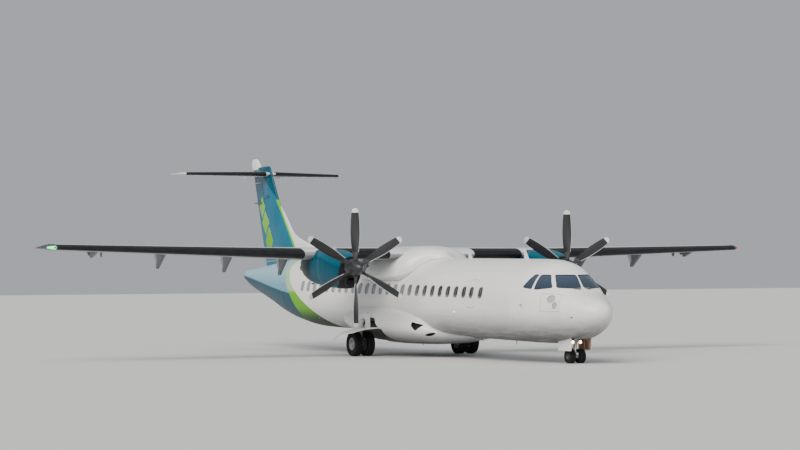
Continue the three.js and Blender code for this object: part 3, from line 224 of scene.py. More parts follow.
# Paint colours, linear. Some are painted shade or painted sky reflections, as noted
WHITE = (0.80, 0.80, 0.79, 1)
WARM_WHITE = (0.74, 0.72, 0.69, 1)
# Painted shade: near black, it darkens the white under the belly
BELLY_SHADE_GREY = (0.075, 0.070, 0.072, 1)
# Painted shade: dark blue-grey for the underside of the belly fairing
FAIRING_UNDERSIDE_SHADE = (0.10, 0.105, 0.12, 1)
# Painted sky reflection on the upper tail cone, paler higher up
TEAL_SKY_REFLECTION = (0.15, 0.36, 0.46, 1)
PALE_TEAL_SKY_REFLECTION = (0.30, 0.47, 0.56, 1)
# Painted sky reflection on the top of the lime stripe
LIME_SKY_REFLECTION = (0.38, 0.55, 0.30, 1)
# Painted shade on the lower lime stripe
SHADED_LIME = (0.004, 0.030, 0.006, 1)
TEAL = (0.001, 0.062, 0.100, 1)
# Painted highlight on the top of the nacelle
TEAL_HIGHLIGHT = (0.010, 0.115, 0.175, 1)
# Painted shade of the teal: on the lower tail cone, and under the tailplane on the fin
SHADE_BLUE = (0.001, 0.012, 0.034, 1)
LIME = (0.130, 0.42, 0.004, 1)
LIGHT_LIME = (0.27, 0.52, 0.06, 1)
LIGHT_GREY = (0.62, 0.63, 0.63, 1)
PALE_GREY = (0.46, 0.48, 0.49, 1)
# Painted shade for the wing's underside
UNDERSIDE_SHADE_GREY = (0.26, 0.275, 0.285, 1)
# Painted shade for the outboard wing tip
TIP_SHADE_GREY = (0.030, 0.032, 0.036, 1)
MID_GREY = (0.20, 0.21, 0.22, 1)
CHARCOAL = (0.010, 0.011, 0.013, 1)
SEAM = (0.10, 0.10, 0.10, 1)
SOOT = (0.035, 0.032, 0.028, 1)

# Livery stripe on the rear fuselage: height and station of its two edges
STRIPE_FRONT = [(3.34, 20.92), (3.09, 20.68), (2.86, 20.42), (2.67, 20.18), (2.48, 19.90), (2.29, 19.55),
                (2.06, 19.14), (1.84, 18.66), (1.62, 18.22), (1.40, 17.80), (1.10, 17.30)]
STRIPE_BACK = [(3.34, 21.34), (3.13, 21.20), (2.94, 21.00), (2.75, 20.72), (2.52, 20.40), (2.29, 20.18),
               (2.06, 19.94), (1.84, 19.72), (1.61, 19.60), (1.40, 19.50), (1.20, 19.42)]

# Lozenges on the fin: station, height, half length and half height
FIN_LOZENGES = [
    (25.54, 5.62, 0.37, 0.44),
    (25.18, 4.98, 0.42, 0.50),
    (24.78, 4.25, 0.47, 0.55),
]



# Shader maths

class Wire:
    """A value, colour or vector in a finish. Python's operators on values add Math nodes."""

    def __init__(self, finish, socket):
        self.finish = finish
        self.socket = socket

    def maths(self, operation, *terms):
        return self.finish.node("ShaderNodeMath", {"operation": operation}, dict(enumerate(terms)))

    def __add__(self, other):
        return self.maths("ADD", self, other)

    def __radd__(self, other):
        return self.maths("ADD", other, self)

    def __sub__(self, other):
        return self.maths("SUBTRACT", self, other)

    def __rsub__(self, other):
        return self.maths("SUBTRACT", other, self)

    def __mul__(self, other):
        return self.maths("MULTIPLY", self, other)

    def __rmul__(self, other):
        return self.maths("MULTIPLY", other, self)

    def __truediv__(self, other):
        return self.maths("DIVIDE", self, other)

    def __mod__(self, other):
        return self.maths("FLOORED_MODULO", self, other)

    def __abs__(self):
        return self.maths("ABSOLUTE", self)

    def least(self, other):
        return self.maths("MINIMUM", self, other)

    def most(self, other):
        return self.maths("MAXIMUM", self, other)

    def sine(self):
        return self.maths("SINE", self)

    def past(self, edge, blur=0.004):
        """1 where the value is above the edge and 0 below it, with a soft change between."""
        sockets = {0: self, 1: edge - blur, 2: edge + blur}
        return self.finish.node("ShaderNodeMapRange", {"interpolation_type": "SMOOTHSTEP"}, sockets)

    def near(self, place, half, blur=0.003):
        """1 within half of a place, 0 further away."""
        return 1 - abs(self - place).past(half, blur)

    def every(self, pitch, half, blur=0.003, start=0.0):
        """1 on lines that repeat at a pitch."""
        return ((self - start + pitch / 2) % pitch).near(pitch / 2, half, blur)


class Finish:
    """One material: its nodes are added by node(), and surface() fills in the shader."""

    def __init__(self, name):
        self.material = bpy.data.materials.new(name)
        self.material.use_nodes = True
        self.tree = self.material.node_tree
        self.tree.nodes.clear()
        self.place = self.node("ShaderNodeTexCoord", out="Object")
        split = self.node("ShaderNodeSeparateXYZ", {}, {0: self.place}).socket.node.outputs
        self.station = NOSE_X - Wire(self, split[0])
        self.y = Wire(self, split[1])
        self.z = Wire(self, split[2])

    def node(self, kind, settings=None, sockets=None, out=0):
        made = self.tree.nodes.new(kind)
        for key, value in (settings or {}).items():
            setattr(made, key, value)
        for key, value in (sockets or {}).items():
            if isinstance(value, Wire):
                self.tree.links.new(value.socket, made.inputs[key])
            else:
                made.inputs[key].default_value = value
        return Wire(self, made.outputs[out]) if made.outputs else None

    def mix(self, first, second, share):
        """Colour between two colours."""
        return self.node("ShaderNodeMix", {"data_type": "RGBA"}, {0: share, 6: first, 7: second}, out=2)

    def noise(self, scale, detail=3, stretch=(1, 1, 1)):
        place = self.node("ShaderNodeVectorMath", {"operation": "MULTIPLY"}, {0: self.place, 1: stretch})
        return self.node("ShaderNodeTexNoise", {}, {0: place, "Scale": scale, "Detail": detail})

    def surface(self, colour, roughness, metallic=0.0, coat=0.0, height=None, depth=0.0006, glow=None,
                **more):
        sockets = {"Base Color": colour, "Roughness": roughness, "Metallic": metallic, "Coat Weight": coat}
        if height is not None:
            bump = {"Strength": 0.6, "Distance": depth, "Height": height}
            sockets["Normal"] = self.node("ShaderNodeBump", {}, bump)
        if glow is not None:
            sockets["Emission Color"], sockets["Emission Strength"] = glow
        sockets.update({key.replace("_", " "): value for key, value in more.items()})
        shader = self.node("ShaderNodeBsdfPrincipled", {}, sockets)
        self.node("ShaderNodeOutputMaterial", {}, {0: shader})
        return self.material


def rivets(along, across, pitch, apart, start=0.0, half=0.0035):
    """Small round heads at a pitch along rows that lie apart from each other."""
    step = (along + pitch / 2) % pitch - pitch / 2
    off = (across - start + apart / 2) % apart - apart / 2
    return 1 - (step * step + off * off).past(half * half, half * half * 0.6)


def bent(finish, points):
    """How far behind a bent edge, a cubic through (height, station) points, the surface is."""
    heights, stations = zip(*points)
    edge, *others = [float(number) for number in np.polyfit(heights, stations, 3)]
    for number in others:
        edge = finish.z * edge + number
    return finish.station - edge


def dimmed(colour, share):
    return tuple(part * share for part in colour[:3]) + (1,)


# Finishes

def hull_paint():
    f = Finish("hull_paint")
    lime = bent(f, STRIPE_FRONT).past(0, 0.006)
    tail = bent(f, STRIPE_BACK).past(0, 0.006)
    streak = f.noise(5, 4, (0.25, 1, 1.6))
    # Painted shade under the belly: the white goes near black towards the keel, in faint dirt streaks
    belly = (1 - f.z.past(1.15, 0.55)) * (1 - f.station.past(16.5, 4.0) * 0.3)
    white = f.mix(WHITE, WARM_WHITE, f.noise(1.1, 4).past(0.55, 0.25) * 0.5)
    white = f.mix(white, BELLY_SHADE_GREY, belly * (0.80 + streak.past(0.45, 0.2) * 0.2))
    # Painted sky reflection: the upper part of the teal tail cone is pale blue above a slanting line
    sky = (f.z - 2.20 - (f.station - 20.3) * 0.104).past(0, 0.03)
    # Painted sky reflection: the lime stripe is paler above 2.24 m
    green = f.mix(LIME, LIME_SKY_REFLECTION, (f.z - 2.24).past(0, 0.08))
    # Painted shade: the lime goes near black below about 1.4 m
    green = f.mix(SHADED_LIME, green, f.z.past(1.42, 0.30))
    # Painted shade: the teal tail cone darkens to deep blue towards the bottom
    shade = f.mix(SHADE_BLUE, TEAL, (f.z - 1.55 - (f.station - 21.5) * 0.20).past(0, 0.45))
    aft = f.mix(shade, f.mix(TEAL_SKY_REFLECTION, PALE_TEAL_SKY_REFLECTION, f.z.past(2.75, 0.4)), sky)
    ring = f.station.every(2.04, 0.003, 0.002, start=0.85)
    lap = f.z.near(1.42, 0.0025, 0.002).most(f.z.near(2.86, 0.0025, 0.002))
    heads = rivets(f.z, f.station, 0.032, 0.51, 0.87) * f.station.past(2.9, 0.01)
    seams = (ring * f.station.past(0.8)).most(lap * f.station.past(3.0))
    colour = f.mix(f.mix(white, green, lime), aft, tail)
    colour = f.mix(f.mix(colour, SEAM, seams * 0.35), SEAM, heads * 0.10)
    rough = 0.24 + streak * 0.10 + belly * 0.12 + lime * 0.15
    gloss = (1 - lime) * 0.2 + 0.02
    return f.surface(colour, rough, coat=gloss, height=heads * 0.6 - seams, depth=0.0012, Coat_Roughness=0.12,
                     Specular_IOR_Level=0.2)


def white_paint():
    f = Finish("white_paint")
    streak = f.noise(7, 4, (0.3, 1, 1.3))
    colour = f.mix(WHITE, dimmed(WHITE, 0.82), f.noise(2.2, 4).past(0.52, 0.2) * 0.35)
    colour = f.mix(colour, MID_GREY, streak.past(0.66, 0.1) * 0.12)
    return f.surface(colour, 0.24 + streak * 0.14, coat=0.3, height=f.noise(90, 2) * 0.15, depth=0.0004,
                     Coat_Roughness=0.1)


def fairing_paint():
    f = Finish("fairing_paint")
    streak = f.noise(5, 4, (0.25, 1, 1.5))
    # Painted shade on the fairing's underside, below about 0.8 m, with dirt streaks in its strength
    low = 1 - f.z.past(0.78, 0.30)
    line = f.z.near(1.24, 0.0025, 0.002) * (1 - f.station.past(14.2))
    seams = f.station.every(1.1, 0.003, 0.002, start=0.3).most(line)
    heads = rivets(f.z, f.station, 0.04, 1.1, 0.32)
    colour = f.mix(WHITE, WARM_WHITE, f.noise(1.6, 4).past(0.5, 0.25) * 0.4)
    colour = f.mix(colour, FAIRING_UNDERSIDE_SHADE, low * (0.70 + streak * 0.25))
    colour = f.mix(colour, SEAM, seams * 0.4)
    return f.surface(colour, 0.24 + streak * 0.12, coat=0.3, height=heads * 0.5 - seams, depth=0.001,
                     Coat_Roughness=0.1)


def wing_paint():
    f = Finish("wing_paint")
    streak = f.noise(4, 4, (0.3, 1, 1))
    span = abs(f.y)
    top = (f.z - 3.45 - span * 0.022).past(0.03, 0.02)
    joint = span.near(4.8, 0.004, 0.002).most(span.every(1.62, 0.002, 0.002, start=0.3))
    seams = joint.most((f.station - span * 0.089).near(11.19, 0.003, 0.002) * span.past(4.8))
    heads = rivets(f.station, span, 0.04, 0.54)
    # Painted shade: the underside is a much darker grey than the top
    colour = f.mix(f.mix(UNDERSIDE_SHADE_GREY, LIGHT_GREY, top), SOOT, streak.past(0.62, 0.12) * 0.22)
    # Painted shade: near black on the wing tip beyond 13.19 m span
    colour = f.mix(f.mix(colour, SEAM, seams * 0.5), TIP_SHADE_GREY, span.past(13.19, 0.004))
    return f.surface(colour, 0.32 + streak * 0.15, coat=0.15, height=heads * 0.4 - seams, depth=0.001,
                     Coat_Roughness=0.2)


def flap_paint(name, colour):
    f = Finish(name)
    streak = f.noise(6, 4, (0.25, 1, 1))
    span = abs(f.y)
    seams = span.every(0.86, 0.002, 0.002)
    heads = rivets(f.station, span, 0.035, 0.43)
    shade = f.mix(f.mix(colour, SOOT, streak.past(0.6, 0.15) * 0.3), SEAM, seams * 0.5)
    return f.surface(shade, 0.36 + streak * 0.16, coat=0.1, height=heads * 0.4 - seams, depth=0.0008)


def boot_rubber():
    f = Finish("boot_rubber")
    dust = f.noise(9, 4, (1, 0.4, 1))
    seams = abs(f.y).every(1.7, 0.004, 0.003, start=0.9)
    tubes = (f.z * 210).sine() * 0.5
    colour = f.mix((0.003, 0.0035, 0.005, 1), (0.014, 0.015, 0.018, 1), dust.past(0.55, 0.2) * 0.6)
    colour = f.mix(colour, (0.05, 0.05, 0.05, 1), seams * 0.4)
    return f.surface(colour, 0.40 + dust * 0.16, height=tubes, depth=0.0008, Specular_IOR_Level=0.3)


def nacelle_paint():
    f = Finish("nacelle_paint")
    streak = f.noise(3, 3, (0.2, 1, 1))
    lip = 9.08 + (3.39 - f.z) * 0.30 + (2.5 - f.z).most(0) * 3.5
    dark = 1 - f.station.past(lip, 0.035)
    # Painted highlight: a lighter teal top on the front cowling
    upper = (f.z - 3.42 + (10.66 - f.station) * 0.25).past(0, 0.012) * (1 - f.station.past(10.64, 0.01))
    # Painted shadow of the wing on the aft end of the nacelle, near black, with streaks of exhaust soot
    aft = f.station.past(11.35, 0.25) * (1 - f.z.past(3.40, 0.04))
    band = f.station.near(10.66, 0.010, 0.003) * f.z.past(2.55)
    side = f.z.near(3.25, 0.003, 0.002) * f.station.past(10.66) * (1 - f.station.past(11.9))
    cowl = f.station.near(9.95, 0.003, 0.002).most(f.station.near(11.35, 0.003, 0.002))
    seams = side.most(cowl)
    heads = rivets(f.z, f.station, 0.04, 0.5, 9.97)
    colour = f.mix(TEAL, (0.002, 0.074, 0.115, 1), f.noise(2.5, 4).past(0.5, 0.3))
    colour = f.mix(colour, TEAL_HIGHLIGHT, upper * 0.6)
    colour = f.mix(colour, (0.003, 0.010, 0.011, 1), aft * (0.70 + streak * 0.25))
    colour = f.mix(colour, (0.22, 0.32, 0.36, 1), band * 0.6)
    colour = f.mix(f.mix(colour, SEAM, seams * 0.5), CHARCOAL, dark)
    rough = 0.34 + streak * 0.10 + dark * 0.25
    return f.surface(colour, rough, coat=0.04, height=heads * 0.4 - seams, depth=0.001, Coat_Roughness=0.15,
                     Specular_IOR_Level=0.12)


def fin_paint():
    """Blue-green with a lime front edge, and three plain lozenges."""
    f = Finish("fin_paint")
    streak = f.noise(4, 3, (0.4, 1, 1))
    z, s = f.z, f.station
    front = s - (z - 3.94) * 0.8906 - 22.29
    high = z.past(5.86, 0.02)
    wedge = (1 - front.past((z - 5.86).most(0) * 0.45, 0.012)) * high
    edge = (1 - front.past(0.13, 0.008)) * (1 - high)
    colour = f.mix((0.006, 0.125, 0.205, 1), (0.014, 0.15, 0.24, 1), f.noise(1.4, 3).past(0.5, 0.3))
    colour = f.mix(colour, (0.085, 0.15, 0.22, 1), z.past(6.2, 0.35) * s.past(25.0, 0.5) * 0.8)
    colour = f.mix(colour, TEAL, wedge * 0.9)
    # Painted shadow of the tailplane: a dark blue band on the fin just below it
    colour = f.mix(colour, SHADE_BLUE, z.near(6.84, 0.02, 0.07) * 0.7)
    reaches = [abs(s - station) / length + abs(z - height) / tall
               for station, height, length, tall in FIN_LOZENGES]
    first, second, third = [1 - reach.past(1, 0.02) for reach in reaches]
    colour = f.mix(colour, f.mix(LIME, LIGHT_LIME, z.past(4.9, 0.9)), first.most(second).most(third))
    colour = f.mix(colour, LIME, edge)
    slanted = (s - (z - 3.46) * 0.414 - 23.2).near(0, 0.003, 0.002)
    seams = z.every(1.1, 0.0025, 0.002, start=0.5).most(slanted)
    heads = rivets(s, z, 0.04, 0.55)
    colour = f.mix(colour, SEAM, seams * 0.4)
    return f.surface(colour, 0.30 + streak * 0.10, coat=0.05, height=heads * 0.4 - seams, depth=0.001,
                     Coat_Roughness=0.15, Specular_IOR_Level=0.2)


def plain_paint(name, colour, rough=0.35, grime=0.25, coat=0.1):
    f = Finish(name)
    cloud = f.noise(14, 4)
    shade = f.mix(colour, dimmed(colour, 0.55), cloud.past(0.55, 0.2) * grime)
    return f.surface(shade, rough + cloud * 0.15, coat=coat, height=f.noise(120, 2), depth=0.0003)


def metal(name, colour, rough=0.25, brushed=(1, 1, 1), stain=0.2):
    f = Finish(name)
    lines = f.noise(160, 3, brushed)
    shade = f.mix(colour, dimmed(colour, 0.5), f.noise(8, 4).past(0.55, 0.2) * stain)
    return f.surface(shade, rough + lines * 0.15, metallic=1.0, height=lines, depth=0.0002)


def exhaust_metal():
    f = Finish("exhaust_metal")
    cloud = f.noise(14, 5)
    shade = f.mix((0.34, 0.29, 0.24, 1), (0.10, 0.085, 0.10, 1), f.station.past(12.68, 0.1) * cloud)
    return f.surface(shade, 0.38 + cloud * 0.2, metallic=0.9, height=cloud, depth=0.0006)


def tyre_rubber():
    f = Finish("tyre_rubber")
    dust = f.noise(12, 4)
    colour = f.mix((0.004, 0.004, 0.0045, 1), (0.018, 0.017, 0.016, 1), dust.past(0.5, 0.25) * 0.6)
    return f.surface(colour, 0.72 + dust * 0.2, height=f.noise(220, 3), depth=0.0008, Specular_IOR_Level=0.25)


def screen_glass():
    """Dark glass that is a little lighter towards its top, as one that has a sky to mirror."""
    f = Finish("screen_glass")
    share = ((f.z - 2.30) / 0.45).most(0).least(1)
    colour = f.mix((0.020, 0.034, 0.055, 1), (0.040, 0.065, 0.100, 1), share)
    return f.surface(colour, 0.06 + f.noise(6, 3) * 0.05, coat=0.3, Coat_Roughness=0.05)


def cabin_glass():
    """Cabin panes, each with its own shade: brown with a paler foot in front, and pale further back as a
    painted sky reflection.
    """
    f = Finish("cabin_glass")
    place = (f.station - WINDOW["first"] + WINDOW["pitch"] / 2) / WINDOW["pitch"]
    number = place.maths("FLOOR", place)
    cell = f.node("ShaderNodeTexWhiteNoise", {"noise_dimensions": "1D"},
                  {"W": number * 1.7 + f.y.past(0) * 31.0})
    slope = (WINDOW["back_z"] - WINDOW["front_z"]) / (WINDOW["pitch"] * (WINDOW["count"] - 1))
    up = f.z - (WINDOW["front_z"] + (f.station - WINDOW["first"]) * slope)
    centre = (place - number - 0.5) * WINDOW["pitch"]
    streak = centre.near(cell * 0.06 - 0.02, 0.018, 0.02) * up.near(0, 0.11, 0.04)
    paler = 1 - up.past(cell * 0.05 - 0.14, 0.03)
    dark = f.mix((0.020, 0.012, 0.011, 1), (0.040, 0.031, 0.030, 1), cell)
    colour = f.mix(dark, (0.24, 0.22, 0.21, 1), streak.most(paler) * 0.7)
    # Painted sky reflection: panes further back are pale grey-blue
    colour = f.mix(colour, (0.30, 0.33, 0.37, 1), f.station.past(10.4, 1.6) * 0.9)
    return f.surface(colour, 0.14 + f.noise(9, 2) * 0.05, coat=0.3, Coat_Roughness=0.08)


def lens(name, colour, strength):
    f = Finish(name)
    ribs = (f.z * 600).sine() * 0.5 + (f.y * 600).sine() * 0.5
    paler = tuple(min(1, part * 1.3 + 0.05) for part in colour[:3]) + (1,)
    shade = f.mix(colour, paler, f.noise(30, 2))
    return f.surface(shade, 0.08 + f.noise(40, 2) * 0.04, coat=1.0, height=ribs, depth=0.0004,
                     glow=(colour, strength))


def tread_mat():
    f = Finish("tread_mat")
    dust = f.noise(18, 4)
    colour = f.mix((0.03, 0.03, 0.032, 1), (0.09, 0.085, 0.08, 1), dust)
    return f.surface(colour, 0.75 + dust * 0.15, height=(f.y * 420).sine(), depth=0.002)


def mesh_grille():
    f = Finish("mesh_grille")
    bars = f.z.every(0.034, 0.009, 0.003)
    colour = f.mix((0.24, 0.23, 0.23, 1), (0.60, 0.59, 0.58, 1), bars)
    return f.surface(colour, 0.45 + f.noise(50, 2) * 0.1, height=bars, depth=0.003)


def lining(name, colour):
    f = Finish(name)
    weave = f.noise(60, 3)
    panels = f.station.every(0.5, 0.003).most(f.z.every(0.62, 0.003))
    shade = f.mix(f.mix(colour, dimmed(colour, 0.8), weave), SEAM, panels * 0.6)
    return f.surface(shade, 0.55 + weave * 0.15, height=weave - panels, depth=0.001)


HULL_PAINT = hull_paint()
WHITE_PAINT = white_paint()
FAIRING_PAINT = fairing_paint()
WING_PAINT = wing_paint()
GREY_PAINT = plain_paint("grey_paint", PALE_GREY, 0.34, 0.2, 0.2)
FORK_PAINT = plain_paint("fork_paint", (0.13, 0.145, 0.15, 1), 0.36, 0.25, 0.2)
FLAP_PAINT = flap_paint("flap_paint", (0.50, 0.51, 0.51, 1))
ELEVATOR_PAINT = flap_paint("elevator_paint", (0.66, 0.67, 0.67, 1))
BOOT_RUBBER = boot_rubber()
NACELLE_PAINT = nacelle_paint()
FIN_PAINT = fin_paint()
TEAL_PAINT = plain_paint("teal_paint", TEAL, 0.22, 0.3, 0.35)
CHARCOAL_PAINT = plain_paint("charcoal_paint", (0.016, 0.017, 0.019, 1), 0.36, 0.3, 0.3)
BLADE_PAINT = plain_paint("blade_paint", (0.010, 0.010, 0.012, 1), 0.36, 0.4, 0.2)
BLADE_TIP = plain_paint("blade_tip_white", (0.72, 0.71, 0.68, 1), 0.34, 0.3, 0.2)
# Dark seals and wicks, and painted shade on faces inside the gaps by the rudder, elevators and blade roots
DARK_SEAL_AND_GAP_SHADE = plain_paint("dark_seal_and_gap_shade", (0.035, 0.035, 0.037, 1), 0.6, 0.2, 0)
DOOR_LINING = plain_paint("door_lining", (0.24, 0.105, 0.040, 1), 0.5, 0.5, 0)
GREY_SEAL = plain_paint("grey_seal", (0.27, 0.27, 0.275, 1), 0.45, 0.25, 0)
# Near black for small dark fittings, and painted shade in cavities: intake, vent holes, scoop and slot
BLACK_AND_CAVITY_SHADE = plain_paint("black_and_cavity_shade", (0.008, 0.008, 0.009, 1), 0.7, 0.1, 0)
BAY_PAINT = plain_paint("bay_paint", (0.28, 0.29, 0.28, 1), 0.5, 0.5, 0)
GEAR_PAINT = plain_paint("gear_paint", (0.50, 0.51, 0.52, 1), 0.32, 0.45, 0.2)
WHEEL_PAINT = plain_paint("wheel_paint", (0.24, 0.25, 0.245, 1), 0.38, 0.4, 0.1)
DARK_WHEEL = plain_paint("dark_wheel_paint", (0.055, 0.057, 0.058, 1), 0.4, 0.4, 0.1)
CHROME = metal("strut_chrome", (0.80, 0.80, 0.80, 1), 0.07, (1, 1, 0.05), 0.05)
STEEL = metal("plain_steel", (0.50, 0.50, 0.52, 1), 0.30)
POLISHED = metal("polished_edge", (0.72, 0.73, 0.74, 1), 0.18, (0.1, 1, 1))
BRAKE_METAL = metal("brake_metal", (0.22, 0.20, 0.19, 1), 0.45, (1, 1, 1), 0.5)
ENGINE_METAL = metal("engine_metal", (0.06, 0.06, 0.065, 1), 0.5, (1, 1, 1), 0.5)
EXHAUST_METAL = exhaust_metal()
TYRE_RUBBER = tyre_rubber()
HOSE_RUBBER = plain_paint("hose_rubber", (0.02, 0.02, 0.02, 1), 0.5, 0.3, 0.1)
SCREEN_GLASS = screen_glass()
CABIN_GLASS = cabin_glass()
LINING = lining("cabin_lining", (0.62, 0.60, 0.56, 1))
FLOOR_MAT = tread_mat()
GRILLE = mesh_grille()
LAMP_WARM = lens("lamp_warm", (1.0, 0.60, 0.24, 1), 9.0)
LAMP_WHITE = lens("lamp_white", (0.95, 0.97, 1.0, 1), 4.0)
LAMP_RED = lens("lamp_red", (0.60, 0.02, 0.015, 1), 0.6)
LAMP_GREEN = lens("lamp_green", (0.02, 0.70, 0.20, 1), 2.5)
BEACON_GLASS = lens("beacon_glass", (0.45, 0.02, 0.015, 1), 0.05)


# Shapes

def turns(count):
    """Angles that share out a full turn evenly."""
    return [2 * math.pi * k / count for k in range(count)]


class Shape:
    """Points and faces of a piece, with the number of its finish on each face."""

    def __init__(self):
        self.points = []
        self.faces = []
        self.marks = []

    def face(self, corners, mark=0):
        self.faces.append(tuple(corners))
        self.marks.append(mark)

    def rings(self, rings, mark=0, caps=True):
        """Skin through a row of closed rings of points."""
        start = len(self.points)
        count = len(rings[0])
        last = start + (len(rings) - 1) * count
        for ring in rings:
            self.points.extend(tuple(p) for p in ring)
        for base in range(start, last, count):
            for k in range(count):
                a, b = base + k, base + (k + 1) % count
                self.face((a, b, b + count, a + count), mark)
        if caps:
            self.face(range(start, start + count), mark)
            self.face(range(last, last + count), mark)
        return self

    def bar(self, points, radius, sides=16, mark=0):
        """Round bar or pipe along points. The radius is one number or a list, one for each point."""
        line = [Vector(p) for p in points]
        sizes = radius if isinstance(radius, list) else [radius] * len(line)
        rings = []
        side = None
        for i, (here, size) in enumerate(zip(line, sizes)):
            ahead = (line[min(i + 1, len(line) - 1)] - line[max(i - 1, 0)]).normalized()
            side = side or ahead.orthogonal().normalized()
            side = (side - ahead * side.dot(ahead)).normalized()
            up = ahead.cross(side)
            rings.append([here + (side * math.cos(t) + up * math.sin(t)) * size for t in turns(sides)])
        return self.rings(rings, mark)

    def add(self, other, mark=None):
        start = len(self.points)
        self.points.extend(other.points)
        for corners, own in zip(other.faces, other.marks):
            self.face([start + c for c in corners], own if mark is None else mark)
        return self

    def moved(self, matrix):
        out = Shape()
        out.points = [tuple(matrix @ Vector(p)) for p in self.points]
        out.faces = list(self.faces)
        out.marks = list(self.marks)
        return out

    def mirrored(self):
        return self.moved(Matrix.Diagonal((1, -1, 1, 1)))


def at(station, y, z):
    return Vector((NOSE_X - station, y, z))


def forward(distance):
    return Vector((distance, 0, 0))


def across(distance):
    return Vector((0, distance, 0))


def side_view(points):
    """(station, height) corners as (x, z)."""
    return [(NOSE_X - station, z) for station, z in points]


def spread(low, high, count):
    return [float(v) for v in np.linspace(low, high, count)]


def between(rows, where):
    """Straight line through rows of numbers, by their first column."""
    i = 0
    while i < len(rows) - 2 and rows[i + 1][0] < where:
        i += 1
    share = (where - rows[i][0]) / (rows[i + 1][0] - rows[i][0])
    return [a + share * (b - a) for a, b in zip(rows[i][1:], rows[i + 1][1:])]


def bowed(start, end, bow, count=9):
    """Points from start to end that bulge by a vector in the middle."""
    start, end, bow = Vector(start), Vector(end), Vector(bow)
    steps = [k / (count - 1) for k in range(count)]
    return [start.lerp(end, t) + bow * (4 * t * (1 - t)) for t in steps]


def turned(profile, centre, axis="y", sides=64, mark=0):
    """Solid of revolution from (radius, along) pairs. Its axis is x or y."""
    rings = []
    for radius, along in profile:
        ring = []
        for t in turns(sides):
            a, b = radius * math.cos(t), radius * math.sin(t)
            ring.append(centre + Vector((a, along, b) if axis == "y" else (along, a, b)))
        rings.append(ring)
    return Shape().rings(rings, mark, caps=False)


def slab(outline, low, high):
    """Flat plate: an outline seen from the side, between two spans."""
    return Shape().rings([[(x, y, z) for x, z in outline] for y in (low, high)])


def block(front, back, y0, y1, z0, z1):
    return slab(side_view([(front, z0), (back, z0), (back, z1), (front, z1)]), y0, y1)


def to_mesh(name, shape):
    mesh = bpy.data.meshes.new(name)
    mesh.from_pydata(shape.points, [], shape.faces)
    mesh.polygons.foreach_set("material_index", shape.marks)
    work = bmesh.new()
    work.from_mesh(mesh)
    bmesh.ops.remove_doubles(work, verts=work.verts, dist=1e-5)
    bmesh.ops.dissolve_degenerate(work, edges=work.edges, dist=1e-6)
    bmesh.ops.recalc_face_normals(work, faces=work.faces)
    work.to_mesh(mesh)
    work.free()
    return mesh


def from_mesh(mesh):
    shape = Shape()
    shape.points = [tuple(v.co) for v in mesh.vertices]
    shape.faces = [tuple(p.vertices) for p in mesh.polygons]
    shape.marks = [p.material_index for p in mesh.polygons]
    return shape


def opened(shape):
    """The shape as a mesh that can be cut."""
    work = bmesh.new()
    work.from_mesh(to_mesh("work", shape))
    return work


def closed(name, work):
    """The cut mesh, with its faces turned outwards."""
    mesh = bpy.data.meshes.new(name)
    work.normal_update()
    bmesh.ops.recalc_face_normals(work, faces=work.faces)
    work.to_mesh(mesh)
    work.free()
    return mesh


def carved(shape, tools, mark=1):
    """The shape with other closed shapes cut out of it. The cut faces take the mark."""
    spare = [bpy.data.materials.new(f"spare_{k}") for k in range(8)]

    def temporary(name, part):
        mesh = to_mesh(name, part)
        for material in spare:
            mesh.materials.append(material)
        body = bpy.data.objects.new(name, mesh)
        bpy.context.scene.collection.objects.link(body)
        return body
    target = temporary("carve_target", shape)
    bodies = [target]
    for tool in tools:
        cutter = temporary("carve_tool", tool)
        cutter.data.polygons.foreach_set("material_index", [mark] * len(cutter.data.polygons))
        modifier = target.modifiers.new("cut", "BOOLEAN")
        modifier.operation = "DIFFERENCE"
        modifier.solver = "EXACT"
        modifier.object = cutter
        bodies.append(cutter)
    bpy.context.view_layer.update()
    done = bpy.data.meshes.new_from_object(target.evaluated_get(bpy.context.evaluated_depsgraph_get()))
    result = from_mesh(done)
    for body in bodies:
        bpy.data.objects.remove(body)
    for material in spare:
        bpy.data.materials.remove(material)
    return result


def smoothed(mesh, sharp):
    mesh.shade_smooth()
    mesh.set_sharp_from_angle(angle=math.radians(sharp))
    return mesh


def show(name, mesh, finishes, body="airframe", slot="white_composite", replaces=(), sharp=35, bevel=0.0):
    """Puts a finished mesh in the scene as a named piece."""
    if isinstance(mesh, Shape):
        mesh = smoothed(to_mesh(name, mesh), sharp)
    piece = bpy.data.objects.new(name, mesh)
    bpy.context.scene.collection.objects.link(piece)
    for finish in finishes:
        mesh.materials.append(finish)
    if bevel:
        modifier = piece.modifiers.new("soft_edges", "BEVEL")
        modifier.width = bevel
        modifier.segments = 2
        modifier.limit_method = "ANGLE"
        modifier.angle_limit = math.radians(40)
    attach(piece, body)
    if replaces:
        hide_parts(*replaces)


def pair(name, shape, finishes, body="airframe", slot="white_composite", replaces=(), **more):
    """A port piece and its mirror image. "{side}" in a name or body becomes left or right."""
    for side, one in (("left", shape), ("right", shape.mirrored())):
        named = [node.format(side=side) for node in replaces]
        show(name.format(side=side), one, finishes, body.format(side=side), slot, named, **more)


